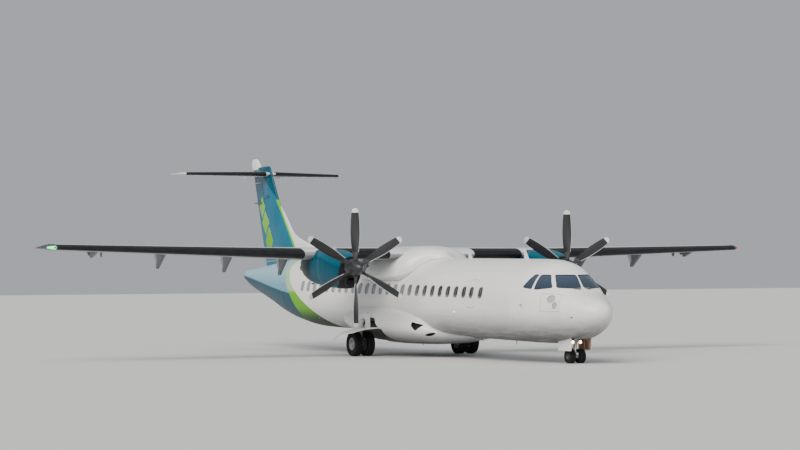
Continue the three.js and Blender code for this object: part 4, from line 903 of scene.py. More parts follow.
class Curve:
    """Smooth line through rows of numbers, which never overshoots a row."""

    def __init__(self, rows):
        table = np.array(rows, float)
        self.x, self.y = table[:, 0], table[:, 1:]
        self.step = np.diff(self.x)[:, None]
        slope = np.diff(self.y, axis=0) / self.step
        self.tilt = np.zeros_like(self.y)
        self.tilt[0], self.tilt[-1] = slope[0], slope[-1]
        for i in range(1, len(self.x) - 1):
            a, b = slope[i - 1], slope[i]
            first = 2 * self.step[i] + self.step[i - 1]
            second = self.step[i] + 2 * self.step[i - 1]
            same = a * b > 0
            a, b = np.where(same, a, 1), np.where(same, b, 1)
            self.tilt[i] = np.where(same, (first + second) / (first / a + second / b), 0)

    def __call__(self, where):
        where = np.atleast_1d(np.asarray(where, float))
        i = np.clip(np.searchsorted(self.x, where, "right") - 1, 0, len(self.x) - 2)
        h = self.step[i]
        t = np.clip((where[:, None] - self.x[i][:, None]) / h, 0, 1)
        a = (1 + 2 * t) * (1 - t) ** 2
        b = t * (1 - t) ** 2
        c = t * t * (3 - 2 * t)
        d = t * t * (t - 1)
        return a * self.y[i] + b * h * self.tilt[i] + c * self.y[i + 1] + d * h * self.tilt[i + 1]

    def one(self, where):
        return [float(v) for v in self(where)[0]]


def oval(station, half, crown, wide, keel, above=FAIRING_ROUND, below=FAIRING_ROUND, sides=64, middle=0.0):
    """Closed outline across the aircraft, from an upper and a lower half oval."""
    angles = np.linspace(0, 2 * math.pi, sides, endpoint=False)
    out, up = np.cos(angles), np.sin(angles)
    power = np.where(up >= 0, 2 / above, 2 / below)
    tall = np.where(up >= 0, crown - wide, wide - keel)
    y = middle + np.sign(out) * half * np.abs(out) ** power
    z = wide + np.sign(up) * tall * np.abs(up) ** power
    return [(NOSE_X - station, float(a), float(b)) for a, b in zip(y, z)]


# Fuselage

NOSE_ROOT = math.sqrt(NOSE_STRETCH)


def crowded(station):
    """Station measured so that equal steps crowd towards the nose tip."""
    station = np.asarray(station, float)
    near_tip = np.sqrt(np.maximum(station, 0))
    return np.where(station < NOSE_STRETCH, near_tip, station / (2 * NOSE_ROOT) + NOSE_ROOT / 2)


def uncrowded(value):
    return value * value if value < NOSE_ROOT else (value - NOSE_ROOT / 2) * 2 * NOSE_ROOT


HULL = Curve([(float(crowded(row[0])), *row[1:]) for row in HULL_ROWS])


def hull_field(station, y, z):
    """Below 1 inside the fuselage and above 1 outside."""
    half, crown, wide, keel, above, below = HULL(crowded(np.maximum(station, 0.004))).T
    up = z >= wide
    power = np.where(up, above, below)
    tall = np.where(up, crown - wide, wide - keel)
    return (np.abs(y) / half) ** power + (np.abs(z - wide) / tall) ** power


def hull_normals(points):
    p = np.array([tuple(q) for q in points], float).reshape(-1, 3)
    s, y, z = NOSE_X - p[:, 0], p[:, 1], p[:, 2]
    e = 5e-4
    slope = np.stack([
        hull_field(s - e, y, z) - hull_field(s + e, y, z),
        hull_field(s, y + e, z) - hull_field(s, y - e, z),
        hull_field(s, y, z + e) - hull_field(s, y, z - e),
    ], 1)
    return slope / np.maximum(np.linalg.norm(slope, axis=1), 1e-12)[:, None]


def oval_reach(half, crown, wide, keel, above, below, z):
    """Half width of an oval at a height."""
    tall, power = (crown - wide, above) if z >= wide else (wide - keel, below)
    share = min(1, abs(z - wide) / tall)
    return half * (1 - share ** power) ** (1 / power)


def on_hull(station, z, side):
    """Point of the skin at a station and height, and the way it faces."""
    here = at(station, side * oval_reach(*HULL.one(crowded(station)), z), z)
    return here, Vector(hull_normals([here])[0])


def on_nose(y, z):
    """Point of the nose ahead of the cockpit at a span and height, and the way it faces."""
    low, high = 0.3, 2.6
    for _ in range(40):
        middle = (low + high) / 2
        inside = hull_field(np.array([middle]), np.array([y]), np.array([z]))[0] < 1
        low, high = (low, middle) if inside else (middle, high)
    here = at(high, y, z)
    return here, Vector(hull_normals([here])[0])


def rounded(corners, radius, steps=4):
    """Outline with its corners replaced by short curves."""
    out = []
    for i, corner in enumerate(corners):
        here = Vector(corner)
        before = Vector(corners[i - 1]) - here
        after = Vector(corners[(i + 1) % len(corners)]) - here
        a = here + before.normalized() * min(radius, before.length / 2)
        b = here + after.normalized() * min(radius, after.length / 2)
        shares = [k / steps for k in range(steps + 1)]
        out += [a * (1 - t) ** 2 + here * (2 * t * (1 - t)) + b * (t * t) for t in shares]
    return out


def grown(outline, distance):
    """The outline moved outwards by a distance."""
    middle = sum(outline, Vector((0, 0))) / len(outline)
    out = []
    for i, here in enumerate(outline):
        before = (here - outline[i - 1]).normalized()
        after = (outline[(i + 1) % len(outline)] - here).normalized()
        normal = Vector((before.y + after.y, -before.x - after.x)).normalized()
        if normal.dot(here - middle) < 0:
            normal = -normal
        lean = max(0.5, abs(normal.dot(Vector((before.y, -before.x)))))
        out.append(here + normal * (distance / lean))
    return out


def side_box(front, back, low, high, radius, steps=4):
    """Rounded opening seen from the side, as (x, z) points."""
    return rounded(side_view([(front, low), (back, low), (back, high), (front, high)]), radius, steps)


def circle(station, z, along, up):
    """Oval outline seen from the side."""
    return [Vector((NOSE_X - station + along * math.cos(t), z + up * math.sin(t))) for t in turns(24)]


def cut_outline(work, outline, axis, pool):
    """Cuts the pool's faces along a convex outline seen along an axis, and returns the ones inside."""
    flat = [k for k in range(3) if k != axis]
    middle = sum(outline, Vector((0, 0))) / len(outline)
    inside = list(pool)
    for i, here in enumerate(outline):
        after = outline[(i + 1) % len(outline)]
        if (after - here).length < 1e-6:
            continue
        out = Vector((after.y - here.y, here.x - after.x)).normalized()
        if out.dot(middle - here) > 0:
            out = -out
        origin, normal = Vector((0, 0, 0)), Vector((0, 0, 0))
        for k in range(2):
            origin[flat[k]], normal[flat[k]] = here[k], out[k]
        edges = {e for f in inside for e in f.edges}
        verts = {v for f in inside for v in f.verts}
        cut = bmesh.ops.bisect_plane(work, geom=[*inside, *edges, *verts], dist=1e-6, plane_co=origin,
                                     plane_no=normal)
        faces = [g for g in cut["geom"] if isinstance(g, bmesh.types.BMFace)]
        inside = [f for f in faces if (f.calc_center_median() - origin).dot(normal) < 0]
    return inside


def faces_near(work, outline, axis, wanted, margin=0.16):
    flat = [k for k in range(3) if k != axis]
    low = [min(p[k] for p in outline) - margin for k in range(2)]
    high = [max(p[k] for p in outline) + margin for k in range(2)]
    found = []
    for face in work.faces:
        here = face.calc_center_median()
        if wanted(here) and all(low[k] < here[flat[k]] < high[k] for k in range(2)):
            found.append(face)
    return found


def paint(faces, mark):
    for face in faces:
        face.material_index = mark


def sink(work, faces, place, floor_mark, wall_mark):
    """Pushes faces in, leaving walls round them. place gives a point's new spot."""
    result = bmesh.ops.extrude_face_region(work, geom=faces)
    bmesh.ops.delete(work, geom=[f for f in faces if f.is_valid], context="FACES_ONLY")
    moved = [g for g in result["geom"] if isinstance(g, bmesh.types.BMVert)]
    pushed = [g for g in result["geom"] if isinstance(g, bmesh.types.BMFace)]
    for vertex, spot in zip(moved, place([v.co.copy() for v in moved])):
        vertex.co = spot
    paint(pushed, floor_mark)
    paint({f for v in moved for f in v.link_faces} - set(pushed), wall_mark)
    return pushed


def inward(depth):
    def place(points):
        return [p - Vector(n) * depth for p, n in zip(points, hull_normals(points))]
    return place


def copied(faces):
    shape = Shape()
    number = {}
    for face in faces:
        for vertex in face.verts:
            if vertex not in number:
                number[vertex] = len(shape.points)
                shape.points.append(tuple(vertex.co))
        shape.face([number[v] for v in face.verts], face.material_index)
    return shape


def thickened(shape, depth, inner_mark):
    """Closed slab from a patch of the skin: the inner side lies the depth inwards."""
    count = len(shape.points)
    inner = [tuple(p) for p in inward(depth)([Vector(p) for p in shape.points])]
    out = Shape()
    out.points = [*shape.points, *inner]
    used = {}
    for corners, mark in zip(shape.faces, shape.marks):
        out.face(corners, mark)
        out.face([c + count for c in reversed(corners)], inner_mark)
        for a, b in zip(corners, [*corners[1:], corners[0]]):
            used[frozenset((a, b))] = used.get(frozenset((a, b)), 0) + 1
    for ends, times in used.items():
        if times == 1:
            a, b = tuple(ends)
            out.face((a, b, b + count, a + count), inner_mark)
    return out


# Marks of the fuselage skin's finishes
SKIN, GROOVE, FRAME, PANE, LINED, MAT, BAY, MESH = range(8)
HULL_FINISHES = [HULL_PAINT, DARK_SEAL_AND_GAP_SHADE, GREY_SEAL, CABIN_GLASS, LINING, FLOOR_MAT, BAY_PAINT, GRILLE]


def ring_faces(work, outline, inner, axis, pool):
    """Cuts an outline and one inside it, and returns the band between them and the inside."""
    whole = cut_outline(work, outline, axis, pool)
    before = set(work.faces) - set(whole)
    inside = cut_outline(work, inner, axis, whole)
    kept = before | set(inside)
    return [f for f in work.faces if f not in kept], inside


def on_side(side):
    return lambda p: p.y * side > 0


def cut_groove(work, outline, side, width, depth=0.010, mark=GROOVE):
    pool = faces_near(work, outline, 1, on_side(side))
    band = ring_faces(work, outline, grown(outline, -width), 1, pool)[0]
    sink(work, band, inward(depth), mark, mark)


def cut_pocket(work, outline, rim, axis, wanted, place, marks, margin=0.16):
    """Sinks what is inside a rim, which goes round the outline, or inside it where its width is negative.
    The marks are for the rim, the floor and the walls."""
    pool = faces_near(work, outline, axis, wanted, margin)
    edges = (outline, grown(outline, rim)) if rim < 0 else (grown(outline, rim), outline)
    band, inside = ring_faces(work, *edges, axis, pool)
    paint(band, marks[0])
    return sink(work, inside, place, *marks[1:])


def open_door(work, door, radius, hinge):
    """Cuts a doorway with a lined recess, and returns the piece of skin for the door."""
    side, front, back, sill, head = door
    low, high = sill + DOOR_GAP, head - DOOR_GAP
    if hinge == "sill":
        low, sill = sill, sill - HINGE_GAPS[hinge]
    else:
        high, head = head, head + HINGE_GAPS[hinge]
    outline = side_box(front, back, sill, head, radius)
    door_edge = side_box(front + DOOR_GAP, back - DOOR_GAP, low, high, radius - DOOR_GAP)
    pool = faces_near(work, outline, 1, on_side(side))
    band, inside = ring_faces(work, outline, door_edge, 1, pool)
    skin = copied(inside)
    back_wall = side * (HULL.one(crowded(front))[0] - DOORWAY_DEPTH)

    def place(points):
        return [Vector((p.x, back_wall, p.z)) for p in points]
    pushed = sink(work, band + inside, place, LINED, LINED)
    for wall in {f for p in pushed for e in p.edges for f in e.link_faces} - set(pushed):
        wall.normal_update()
        if abs(wall.normal.z) > 0.8 and wall.calc_center_median().z < sill + 0.1:
            wall.material_index = MAT
    return skin


def window_outline(i):
    share = i / (WINDOW["count"] - 1)
    station = WINDOW["first"] + WINDOW["pitch"] * i + (0.05 if i == 1 else 0)
    z = WINDOW["front_z"] + share * (WINDOW["back_z"] - WINDOW["front_z"])
    wide, tall = WINDOW["wide"], WINDOW["tall"]
    return side_box(station - wide / 2, station + wide / 2, z - tall / 2, z + tall / 2, wide * 0.46, 5)


# Cockpit glass. The side panes are (station, height) and the screens are (span, height)
SIDE_PANES = [
    [(2.738, 2.352), (2.349, 2.301), (2.319, 2.733), (2.479, 2.734)],
    [(2.23, 2.279), (1.635, 2.331), (1.957, 2.72), (2.239, 2.723)],
]
SCREEN = [(0.76, 2.33), (0.048, 2.327), (0.032, 2.714), (0.60, 2.719)]
AVIONICS_PANEL = [(1.912, 2.171), (1.203, 2.122), (1.129, 1.594), (1.912, 1.606)]
# station, height, half width, half height
GRILLES = [(1.513, 1.987, 0.147, 0.114), (1.335, 1.79, 0.094, 0.109)]
SERVICE_PANE = (20.73, 2.45, 0.11, 0.11)


def cut_pane(work, corners, axis, wanted, glass):
    """Dark seal round a sunk pane. The pane's faces go to the glass piece."""
    edge = rounded(corners, 0.045, 3)
    pushed = cut_pocket(work, edge, 0.014, axis, wanted, inward(0.012), (GROOVE, PANE, GROOVE))
    glass.add(copied(pushed), 0)
    bmesh.ops.delete(work, geom=pushed, context="FACES_ONLY")


def build_fuselage():
    steps = spread(float(crowded(0.0)), float(crowded(HULL_ROWS[-1][0])), HULL_RINGS)
    work = opened(Shape().rings([oval(uncrowded(v), *HULL.one(v), sides=HULL_SIDES) for v in steps]))
    glass = Shape()
    passenger = open_door(work, PASSENGER_DOOR, 0.16, "sill")
    cargo = open_door(work, CARGO_DOOR, 0.10, "head")
    side, *edges = SERVICE_DOOR
    cut_groove(work, side_box(*edges, 0.12), side, 0.014, 0.004, FRAME)
    for side, *edges in EXITS:
        cut_groove(work, side_box(*edges, 0.10), side, 0.010)
    for side in (1, -1):
        wanted = on_side(side)
        for i in range(WINDOW["count"]):
            cut_pocket(work, window_outline(i), -0.028, 1, wanted, inward(0.014), (FRAME, PANE, FRAME))
        for pane in SIDE_PANES:
            cut_pane(work, side_view(pane), 1, wanted, glass)
        front_half = lambda p: p.y * side > 0 and p.x > NOSE_X - 2.1 and p.z > 2.2
        cut_pane(work, [(y * side, z) for y, z in SCREEN], 0, front_half, glass)
        cut_groove(work, rounded(side_view(AVIONICS_PANEL), 0.05, 3), side, 0.009, 0.004, FRAME)
        for grille in GRILLES:
            cut_pocket(work, circle(*grille), -0.014, 1, wanted, inward(0.012), (FRAME, MESH, FRAME))
    pane = circle(*SERVICE_PANE)
    inside = cut_outline(work, pane, 1, faces_near(work, pane, 1, on_side(-1)))
    sink(work, inside, inward(0.006), PANE, GROOVE)
    half, ends = NOSE_BAY["half"], (NOSE_BAY["front"], NOSE_BAY["back"])
    bay = [Vector((NOSE_X - s, y)) for s, y in zip((*ends, *ends[::-1]), (-half, -half, half, half))]
    inside = cut_outline(work, bay, 2, faces_near(work, bay, 2, lambda p: p.z < 1.1))
    sink(work, inside, lambda points: [Vector((p.x, p.y, NOSE_BAY["roof"])) for p in points], BAY, BAY)
    return closed("fuselage_skin", work), glass, passenger, cargo


def shade_like_hull(mesh):
    """Gives the skin the smooth shading of the true hull, so that the cuts don't show in it."""
    smoothed(mesh, 30)
    normals = hull_normals([v.co for v in mesh.vertices])
    custom = []
    for polygon in mesh.polygons:
        for corner in polygon.vertices:
            n = normals[corner]
            same = Vector(n).dot(polygon.normal) > 0.93 and polygon.material_index in (SKIN, FRAME, GROOVE)
            custom.append(tuple(n) if same else (0.0, 0.0, 0.0))
    mesh.normals_split_custom_set(custom)


hull_mesh, glass_shape, passenger_skin, cargo_skin = build_fuselage()
shade_like_hull(hull_mesh)
show("fuselage_skin", hull_mesh, HULL_FINISHES, slot="white_skin",
     replaces=["radome", "fuselage_nose", "fuselage_forward", "fuselage_centre", "fuselage_rear", "tail_cone",
               "service_door", "emergency_exit_left", "emergency_exit_right"])
show("cockpit_panes", thickened(glass_shape, 0.012, 0), [SCREEN_GLASS], slot="cockpit_glass",
     replaces=["cockpit_windows"])


def hinge_rod(shape, door, height, mark):
    """Round hinge along one long edge of a door."""
    side, front, back, _, _ = door
    spots = [on_hull(s, height, side) for s in spread(front + 0.17, back - 0.17, 6)]
    shape.bar([skin - normal * HINGE_DEPTH for skin, normal in spots], 0.011, 14, mark)


def build_passenger_door():
    """Door with a lined inner side that serves as the stairs when it hangs open."""
    side, front, back, sill, _ = PASSENGER_DOOR
    shape = thickened(passenger_skin, DOOR_THICK, 1)
    for k in range(6):
        height = sill + 0.22 + 0.25 * k
        depth = on_hull((front + back) / 2, height, side)[0].y - DOOR_THICK + 0.01
        for inner, outer, half, mark in ((depth - 0.17, depth, 0.014, 2),
                                         (depth - 0.178, depth - 0.17, 0.02, 3)):
            shape.add(block(front + 0.09, back - 0.09, inner, outer, height - half, height + half), mark)
    for station in (front + 0.07, back - 0.07):
        rail = []
        for k in range(14):
            skin, normal = on_hull(station, sill + 0.16 + k * 0.1, side)
            rail.append(skin - normal * (DOOR_THICK + 0.19 * math.sin(math.pi * k / 13)))
        shape.bar(rail, 0.014, 10, 4)
    handle, normal = on_hull(front + 0.17, 2.2, side)
    shape.bar([handle - normal * 0.004 + forward(step) for step in (0.06, 0.02, -0.02, -0.06)], 0.011, 10, 4)
    hinge_rod(shape, PASSENGER_DOOR, sill, 4)
    return shape


def build_cargo_door():
    """Door with a ribbed inner side, a lock bar and a flush handle."""
    side, front, back, sill, head = CARGO_DOOR
    shape = thickened(cargo_skin, DOOR_THICK, 1)
    for k in range(5):
        station = front + 0.12 + k * (back - front - 0.24) / 4
        spots = [on_hull(station, sill + 0.12 + j * (head - sill - 0.24) / 11, side) for j in range(12)]
        shape.bar([skin - normal * (DOOR_THICK + 0.012) for skin, normal in spots], 0.022, 8, 1)
    for height in (sill + 0.35, sill + 0.85):
        spots = [on_hull(s, height, side)[0] for s in spread(front + 0.1, back - 0.1, 8)]
        shape.bar([spot - across(DOOR_THICK + 0.035) for spot in spots], 0.013, 10, 2)
    handle, normal = on_hull((front + back) / 2, sill + 0.3, side)
    shape.bar([handle - normal * 0.004 + forward(step) for step in (-0.08, 0, 0.08)], 0.012, 10, 2)
    hinge_rod(shape, CARGO_DOOR, head, 2)
    return shape


show("passenger_door_stairs", build_passenger_door(), [HULL_PAINT, LINING, FLOOR_MAT, LAMP_WHITE, STEEL],
     "passenger_door", "white_skin", ["passenger_door"], bevel=0.003)
show("cargo_door_panel", build_cargo_door(), [HULL_PAINT, BAY_PAINT, STEEL], "cargo_door", "white_skin",
     ["cargo_door"], bevel=0.003)


# Nose and fuselage fittings. Marks: 0 white, 1 dark, 2 steel, 3 lamp

# station, height, depth of its foot, how far it stands out, radius, sides, mark
STUDS = [
    (2.69, 1.82, 0.01, 0.07, 0.028, 16, 0),
    (0.419, 1.834, 0.01, 0.003, 0.012, 12, 1),
    (0.535, 1.078, 0.01, 0.003, 0.012, 12, 1),
    (6.884, 1.567, 0.01, 0.008, 0.036, 20, 2),
    (6.884, 1.567, 0, 0.013, 0.026, 20, 3),
    (3.15, 1.35, 0.01, 0.006, 0.02, 14, 2),
    (4.3, 1.02, 0.01, 0.006, 0.02, 14, 2),
    (16.5, 1.15, 0.01, 0.006, 0.02, 14, 2),
    (17.9, 1.25, 0.01, 0.006, 0.02, 14, 2),
]
# station, height, lean, length of its foot, 1 on the crown or -1 on the keel
AERIALS = [
    (4.6, 0.30, 0.13, 0.30, 1),
    (8.3, 0.26, 0.11, 0.26, 1),
    (16.9, 0.30, 0.13, 0.30, 1),
    (5.26, 0.14, 0.05, 0.10, -1),
    (7.43, 0.12, 0.05, 0.10, -1),
    (15.6, 0.24, 0.1, 0.26, -1),
    (17.2, 0.16, 0.07, 0.18, -1),
]


def add_wiper(shape, side):
    """Arm and blade at rest along the foot of a windscreen."""
    def spot(y, z, lift):
        here, out = on_nose(y * side, z)
        return here + out * lift
    shape.bar([spot(0.13, 2.255, -0.01), spot(0.13, 2.255, 0.024), spot(0.38, 2.303, 0.026)], 0.009, 10, 1)
    shape.bar([spot(y, 2.284 + 0.05 * y, 0.012) for y in spread(0.05, 0.69, 14)], 0.008, 8, 1)


def blade_aerial(station, height, lean, foot, up):
    """Swept blade aerial on the crown or keel."""
    sunk = 0.01
    _, crown, _, keel, _, _ = HULL.one(crowded(station))
    base = crown - sunk if up > 0 else keel + sunk
    rings = []
    for share in (0, 0.35, 0.7, 0.9, 1.0):
        chord = foot * (1 - 0.5 * share) * (0.75 if share == 1.0 else 1)
        middle, half = station + lean * share, 0.011 * (1 - 0.4 * share)
        z = base + up * height * share
        rings.append([at(middle + chord / 2 * math.cos(t), half * math.sin(t), z) for t in turns(16)])
    return Shape().rings(rings)


def build_fittings():
    """Wipers, probes, vanes, lamps, aerials and a drain mast on the fuselage."""
    shape = Shape()
    for side in (1, -1):
        add_wiper(shape, side)
        for station, z, depth, height, radius, sides, mark in STUDS:
            skin, out = on_hull(station, z, side)
            shape.bar([skin - out * depth, skin + out * height], radius, sides, mark)
        skin, out = on_hull(2.69, 1.82, side)
        shape.bar([skin + out * 0.06, skin + out * 0.075 + forward(0.16)], 0.013, 12, 2)
        skin, out = on_hull(0.742, 1.428, side)
        vane = [skin - out * 0.01 - forward(0.05), skin + out * 0.004, skin + forward(0.045) - out * 0.02]
        shape.bar(vane, 0.017, 12, 1)
    for aerial in AERIALS:
        shape.add(blade_aerial(*aerial))
    mast = at(11.73, 0, 0.415)
    shape.bar([mast, mast - Vector((0.02, 0, 0.055))], 0.014, 12, 1)
    return shape


show("fuselage_fittings", build_fittings(), [WHITE_PAINT, DARK_SEAL_AND_GAP_SHADE, STEEL, LAMP_WHITE], slot="white_skin")


# Fairings

# station and height of the corners of two openings in the belly fairing, and how round the corners are
SCOOP = ([(9.60, 1.24), (9.28, 1.14), (9.27, 1.07), (9.43, 0.91), (9.57, 1.08)], 0.05)
SLOT = ([(9.24, 0.745), (9.18, 0.728), (9.04, 0.75), (8.92, 0.815), (8.98, 0.845), (9.12, 0.82), (9.20, 0.772)],
        0.03)
BELLY = Curve(BELLY_ROWS)
TOP = Curve(TOP_ROWS)


def build_belly():
    stations = spread(7.4, 14.2, 90) + spread(14.23, 14.62, 14) + [14.65, 14.67, 14.68]
    solid = Shape().rings([oval(s, *BELLY.one(s), sides=88) for s in stations])
    port = [block(*box) for box in GEAR_WELL] + [slab(side_view(GEAR_WELL_SIDE), 1.50, 2.50)]
    work = opened(carved(solid, port + [box.mirrored() for box in port]))
    for side in (1, -1):
        depth = Vector((0.05, side * 0.16, 0))
        # The walls and floors of the scoop and slot are near black, painted shade
        for corners, radius in (SCOOP, SLOT):
            cut_pocket(work, rounded(side_view(corners), radius), 0.012, 1, on_side(side),
                       lambda points: [p - depth for p in points], (3, 2, 2), 0.12)
    return smoothed(closed("belly_fairing_skin", work), 32)


def build_wing_fairing():
    return Shape().rings([oval(s, *TOP.one(s), sides=72) for s in spread(TOP_ROWS[0][0], TOP_ROWS[-1][0], 100)])


def seam_spot(station, side):
    """Lowest point of the wing fairing that stands outside the fuselage."""
    ring = np.array(oval(station, *TOP.one(station), sides=1440))
    outside = (ring[:, 1] * side > 0) & (hull_field(np.full(len(ring), station), ring[:, 1], ring[:, 2]) > 1)
    return Vector(min(ring[outside], key=lambda p: p[2]))


def build_fairing_edge():
    """Seal line where the wing fairing meets the fuselage, with small fittings on both fairings."""
    shape = Shape()
    for side in (1, -1):
        shape.bar([seam_spot(s, side) for s in spread(9.66, 10.6, 48) + spread(10.65, 15.6, 70)], 0.009, 8)
        upper = at(13.12, side * 1.462, 3.12)
        lower = at(12.53, side * oval_reach(*BELLY.one(12.53), FAIRING_ROUND, FAIRING_ROUND, 1.49), 1.49)
        for mark, spot, depth in ((1, upper, 0.03), (2, lower, 0.02)):
            shape.bar([spot - across(side * depth), spot + across(side * 0.012)], 0.035, 16, mark)
    return shape


show("belly_fairing_skin", build_belly(), [FAIRING_PAINT, BAY_PAINT, BLACK_AND_CAVITY_SHADE, GREY_SEAL],
     replaces=["belly_fairing"])
show("wing_fairing_skin", build_wing_fairing(), [FAIRING_PAINT], replaces=["wing_fairing"])
show("fairing_edges", build_fairing_edge(), [GREY_SEAL, DARK_SEAL_AND_GAP_SHADE, STEEL])


# Wing and control surfaces

def foil_half(share, thick):
    share = max(share, 0.0)
    curve = (0.2969 * math.sqrt(share) - 0.126 * share - 0.3516 * share ** 2 + 0.2843 * share ** 3
             - 0.1015 * share ** 4)
    return 5 * thick * curve


def arch(camber, share):
    return 4 * camber * share * (1 - share)


def foil_sides(shares, chord, thick, camber):
    """Top and underside of an airfoil as (aft, up) points at shares of the chord."""
    return [[(x * chord, (arch(camber, x) + way * foil_half(x, thick)) * chord) for x in shares]
            for way in (1, -1)]


def foil(chord, thick, camber=0.0, count=26):
    """Closed airfoil outline from the back over the top to the front and back underneath."""
    shares = [(1 + math.cos(math.pi * k / count)) / 2 for k in range(count + 1)]
    upper, lower = foil_sides(shares, chord, thick, camber)
    return upper + lower[-2::-1]


def control_ring(chord, thick, camber, front, radius, count=14):
    """Outline of a moving surface from the trailing edge round its round nose and back."""
    shares = [1 - (1 - front) * k / count for k in range(count + 1)]
    upper, lower = foil_sides(shares, chord, thick, camber)
    middle, tall = arch(camber, front) * chord, foil_half(front, thick) * chord
    bends = [math.pi * k / 12 for k in range(1, 12)]
    nose = [(front * chord - radius * math.sin(t), middle + tall * math.cos(t)) for t in bends]
    return upper + nose + lower[::-1]


def placed(outline, lead, span, height, slim=1.0):
    return [at(lead + aft, span, height + up * slim) for aft, up in outline]


def surface_ring(rows, camber, span, slim=1.0):
    lead, height, chord, thick = between(rows, abs(span))
    return placed(foil(chord, thick, camber), lead, span, height, slim)


def control_surface(rows, camber, spans, front_at, nose=None):
    """Moving surface with a round nose. front_at gives the share of the chord where it starts."""
    rings = []
    for span in spans:
        lead, height, chord, thick = between(rows, span)
        front = front_at(lead, chord)
        outline = control_ring(chord, thick, camber, front, (nose or foil_half(front, thick)) * chord)
        rings.append(placed(outline, lead, span, height))
    return Shape().rings(rings)


def add_wick(shape, rows, span, length):
    """Thin discharge wick behind a trailing edge."""
    lead, height, chord, _ = between(rows, span)
    trail = lead + chord
    shape.bar([at(trail - 0.01, span, height), at(trail + length, span, height - 0.004)], 0.003, 6, 2)


def add_pin(shape, start, end, radius, length):
    """Hinge pin that stands out of both ends."""
    along = (end - start).normalized() * length
    shape.bar([start - along, end + along], radius, 16, 1)


def cove(span_range, share, ahead=0.0):
    """Solid that covers the wing behind a share of the chord."""
    rings = []
    for span in (span_range[0] - GAP, span_range[1] + GAP):
        lead, height, chord, _ = between(WING_ROWS, span)
        front = lead + share * chord - (ahead + GAP)
        corners = [(front, -0.6), (front, 0.6), (front + 2, 0.6), (front + 2, -0.6)]
        rings.append([at(station, span, height + up) for station, up in corners])
    return Shape().rings(rings)


def flap_hinge(span):
    lead, _, chord, _ = between(WING_ROWS, span)
    return lead + FLAP_FRONT * chord + 0.04, 2.86 + max(0, span - 4.85) * 0.054


def hinge_fork(span, width):
    """Fixed fork under the wing that carries one flap hinge. It narrows towards its foot."""
    station, z = flap_hinge(span)
    under = between(WING_ROWS, span)[1] - 0.06
    outline = side_view([
        (station - 0.66, under), (station - 0.62, under - 0.06), (station - 0.06, z - 0.052),
        (station + 0.03, z - 0.056), (station + 0.055, z - 0.04), (station + 0.055, z + 0.045),
        (station - 0.062, z + 0.19), (station - 0.062, under)])
    body = slab(outline, span - width / 2, span + width / 2)
    narrow = []
    for x, y, height in body.points:
        share = max(0.0, min(1.0, (height - z + 0.06) / (under - z + 0.06)))
        narrow.append((x, span + (y - span) * (FORK_FOOT + (1 - FORK_FOOT) * share), height))
    body.points = narrow
    return carved(body, [block(station - 0.065, station + 0.2, span - 0.018, span + 0.018, z - 0.2, z + 0.9)])


def add_hinge_arm(shape, span, width):
    station, z = flap_hinge(span)
    under = between(WING_ROWS, span)[1] - 0.02
    outline = side_view([(station - 0.024, z + 0.02), (station - 0.024, under), (station + 0.33, under),
                         (station + 0.036, z - 0.006)])
    shape.add(slab(outline, span - 0.012, span + 0.012), 1)
    for half, radius, sides in ((0.012, 0.038, 20), (FORK_FOOT * width / 2 - 0.002, 0.014, 16)):
        shape.bar([at(station, span - half, z), at(station, span + half, z)], radius, sides, 1)


def aileron_bracket(corners):
    """Plate under the aileron's hinge, from (aft of the hinge, up) corners."""
    span, width = AILERON_BRACKET
    lead, height, chord, _ = between(WING_ROWS, span)
    hinge = lead + AILERON_HINGE * chord
    outline = side_view([(hinge + aft, height + up) for aft, up in corners])
    return slab(outline, span - width / 2, span + width / 2)


def build_wing_panel():
    """Outer wing with its flap and aileron coves, hinge forks, a bracket and a small fin."""
    tip = [(13.3, 1.0), (13.38, 0.94), (13.44, 0.84), (13.485, 0.68), (13.512, 0.48), (13.525, 0.25)]
    rows = [(span, 1.0) for span in spread(4.8, 13.15, 32)] + tip
    solid = Shape().rings([surface_ring(WING_ROWS, CAMBER, span, slim) for span, slim in rows])
    shape = carved(solid, [cove(FLAP_OUTBOARD, FLAP_FRONT), cove(AILERON, AILERON_HINGE, 0.058)], 2)
    for span, width in FLAP_ARMS[2:]:
        shape.add(hinge_fork(span, width), 1)
    shape.add(aileron_bracket([(-0.78, 0), (-0.78, -0.05), (-0.40, -0.19), (-0.14, -0.27), (-0.09, -0.25),
                               (-0.09, 0)]), 1)
    fin = side_view([(12.92, 3.6), (12.97, 3.44), (13.10, 3.47), (13.12, 3.6)])
    return shape.add(slab(fin, 11.29, 11.31), 1)


def build_wing_centre():
    coves = [cove(FLAP_INBOARD, FLAP_FRONT), cove((FLAP_OUTBOARD[0], 4.9 - GAP), FLAP_FRONT)]
    solid = Shape().rings([surface_ring(WING_ROWS, CAMBER, span) for span in spread(-4.8, 4.8, 21)])
    shape = carved(solid, coves + [c.mirrored() for c in coves], 2)
    for span, width in FLAP_ARMS[:2]:
        fork = hinge_fork(span, width)
        shape.add(fork, 1).add(fork.mirrored(), 1)
    return shape


def build_flap(inner, outer):
    nose = 0.035
    shape = control_surface(WING_ROWS, CAMBER, spread(inner, outer, 24),
                            lambda lead, chord: FLAP_FRONT + nose, nose)
    for span, width in FLAP_ARMS:
        if inner < span < outer:
            add_hinge_arm(shape, span, width)
    return shape


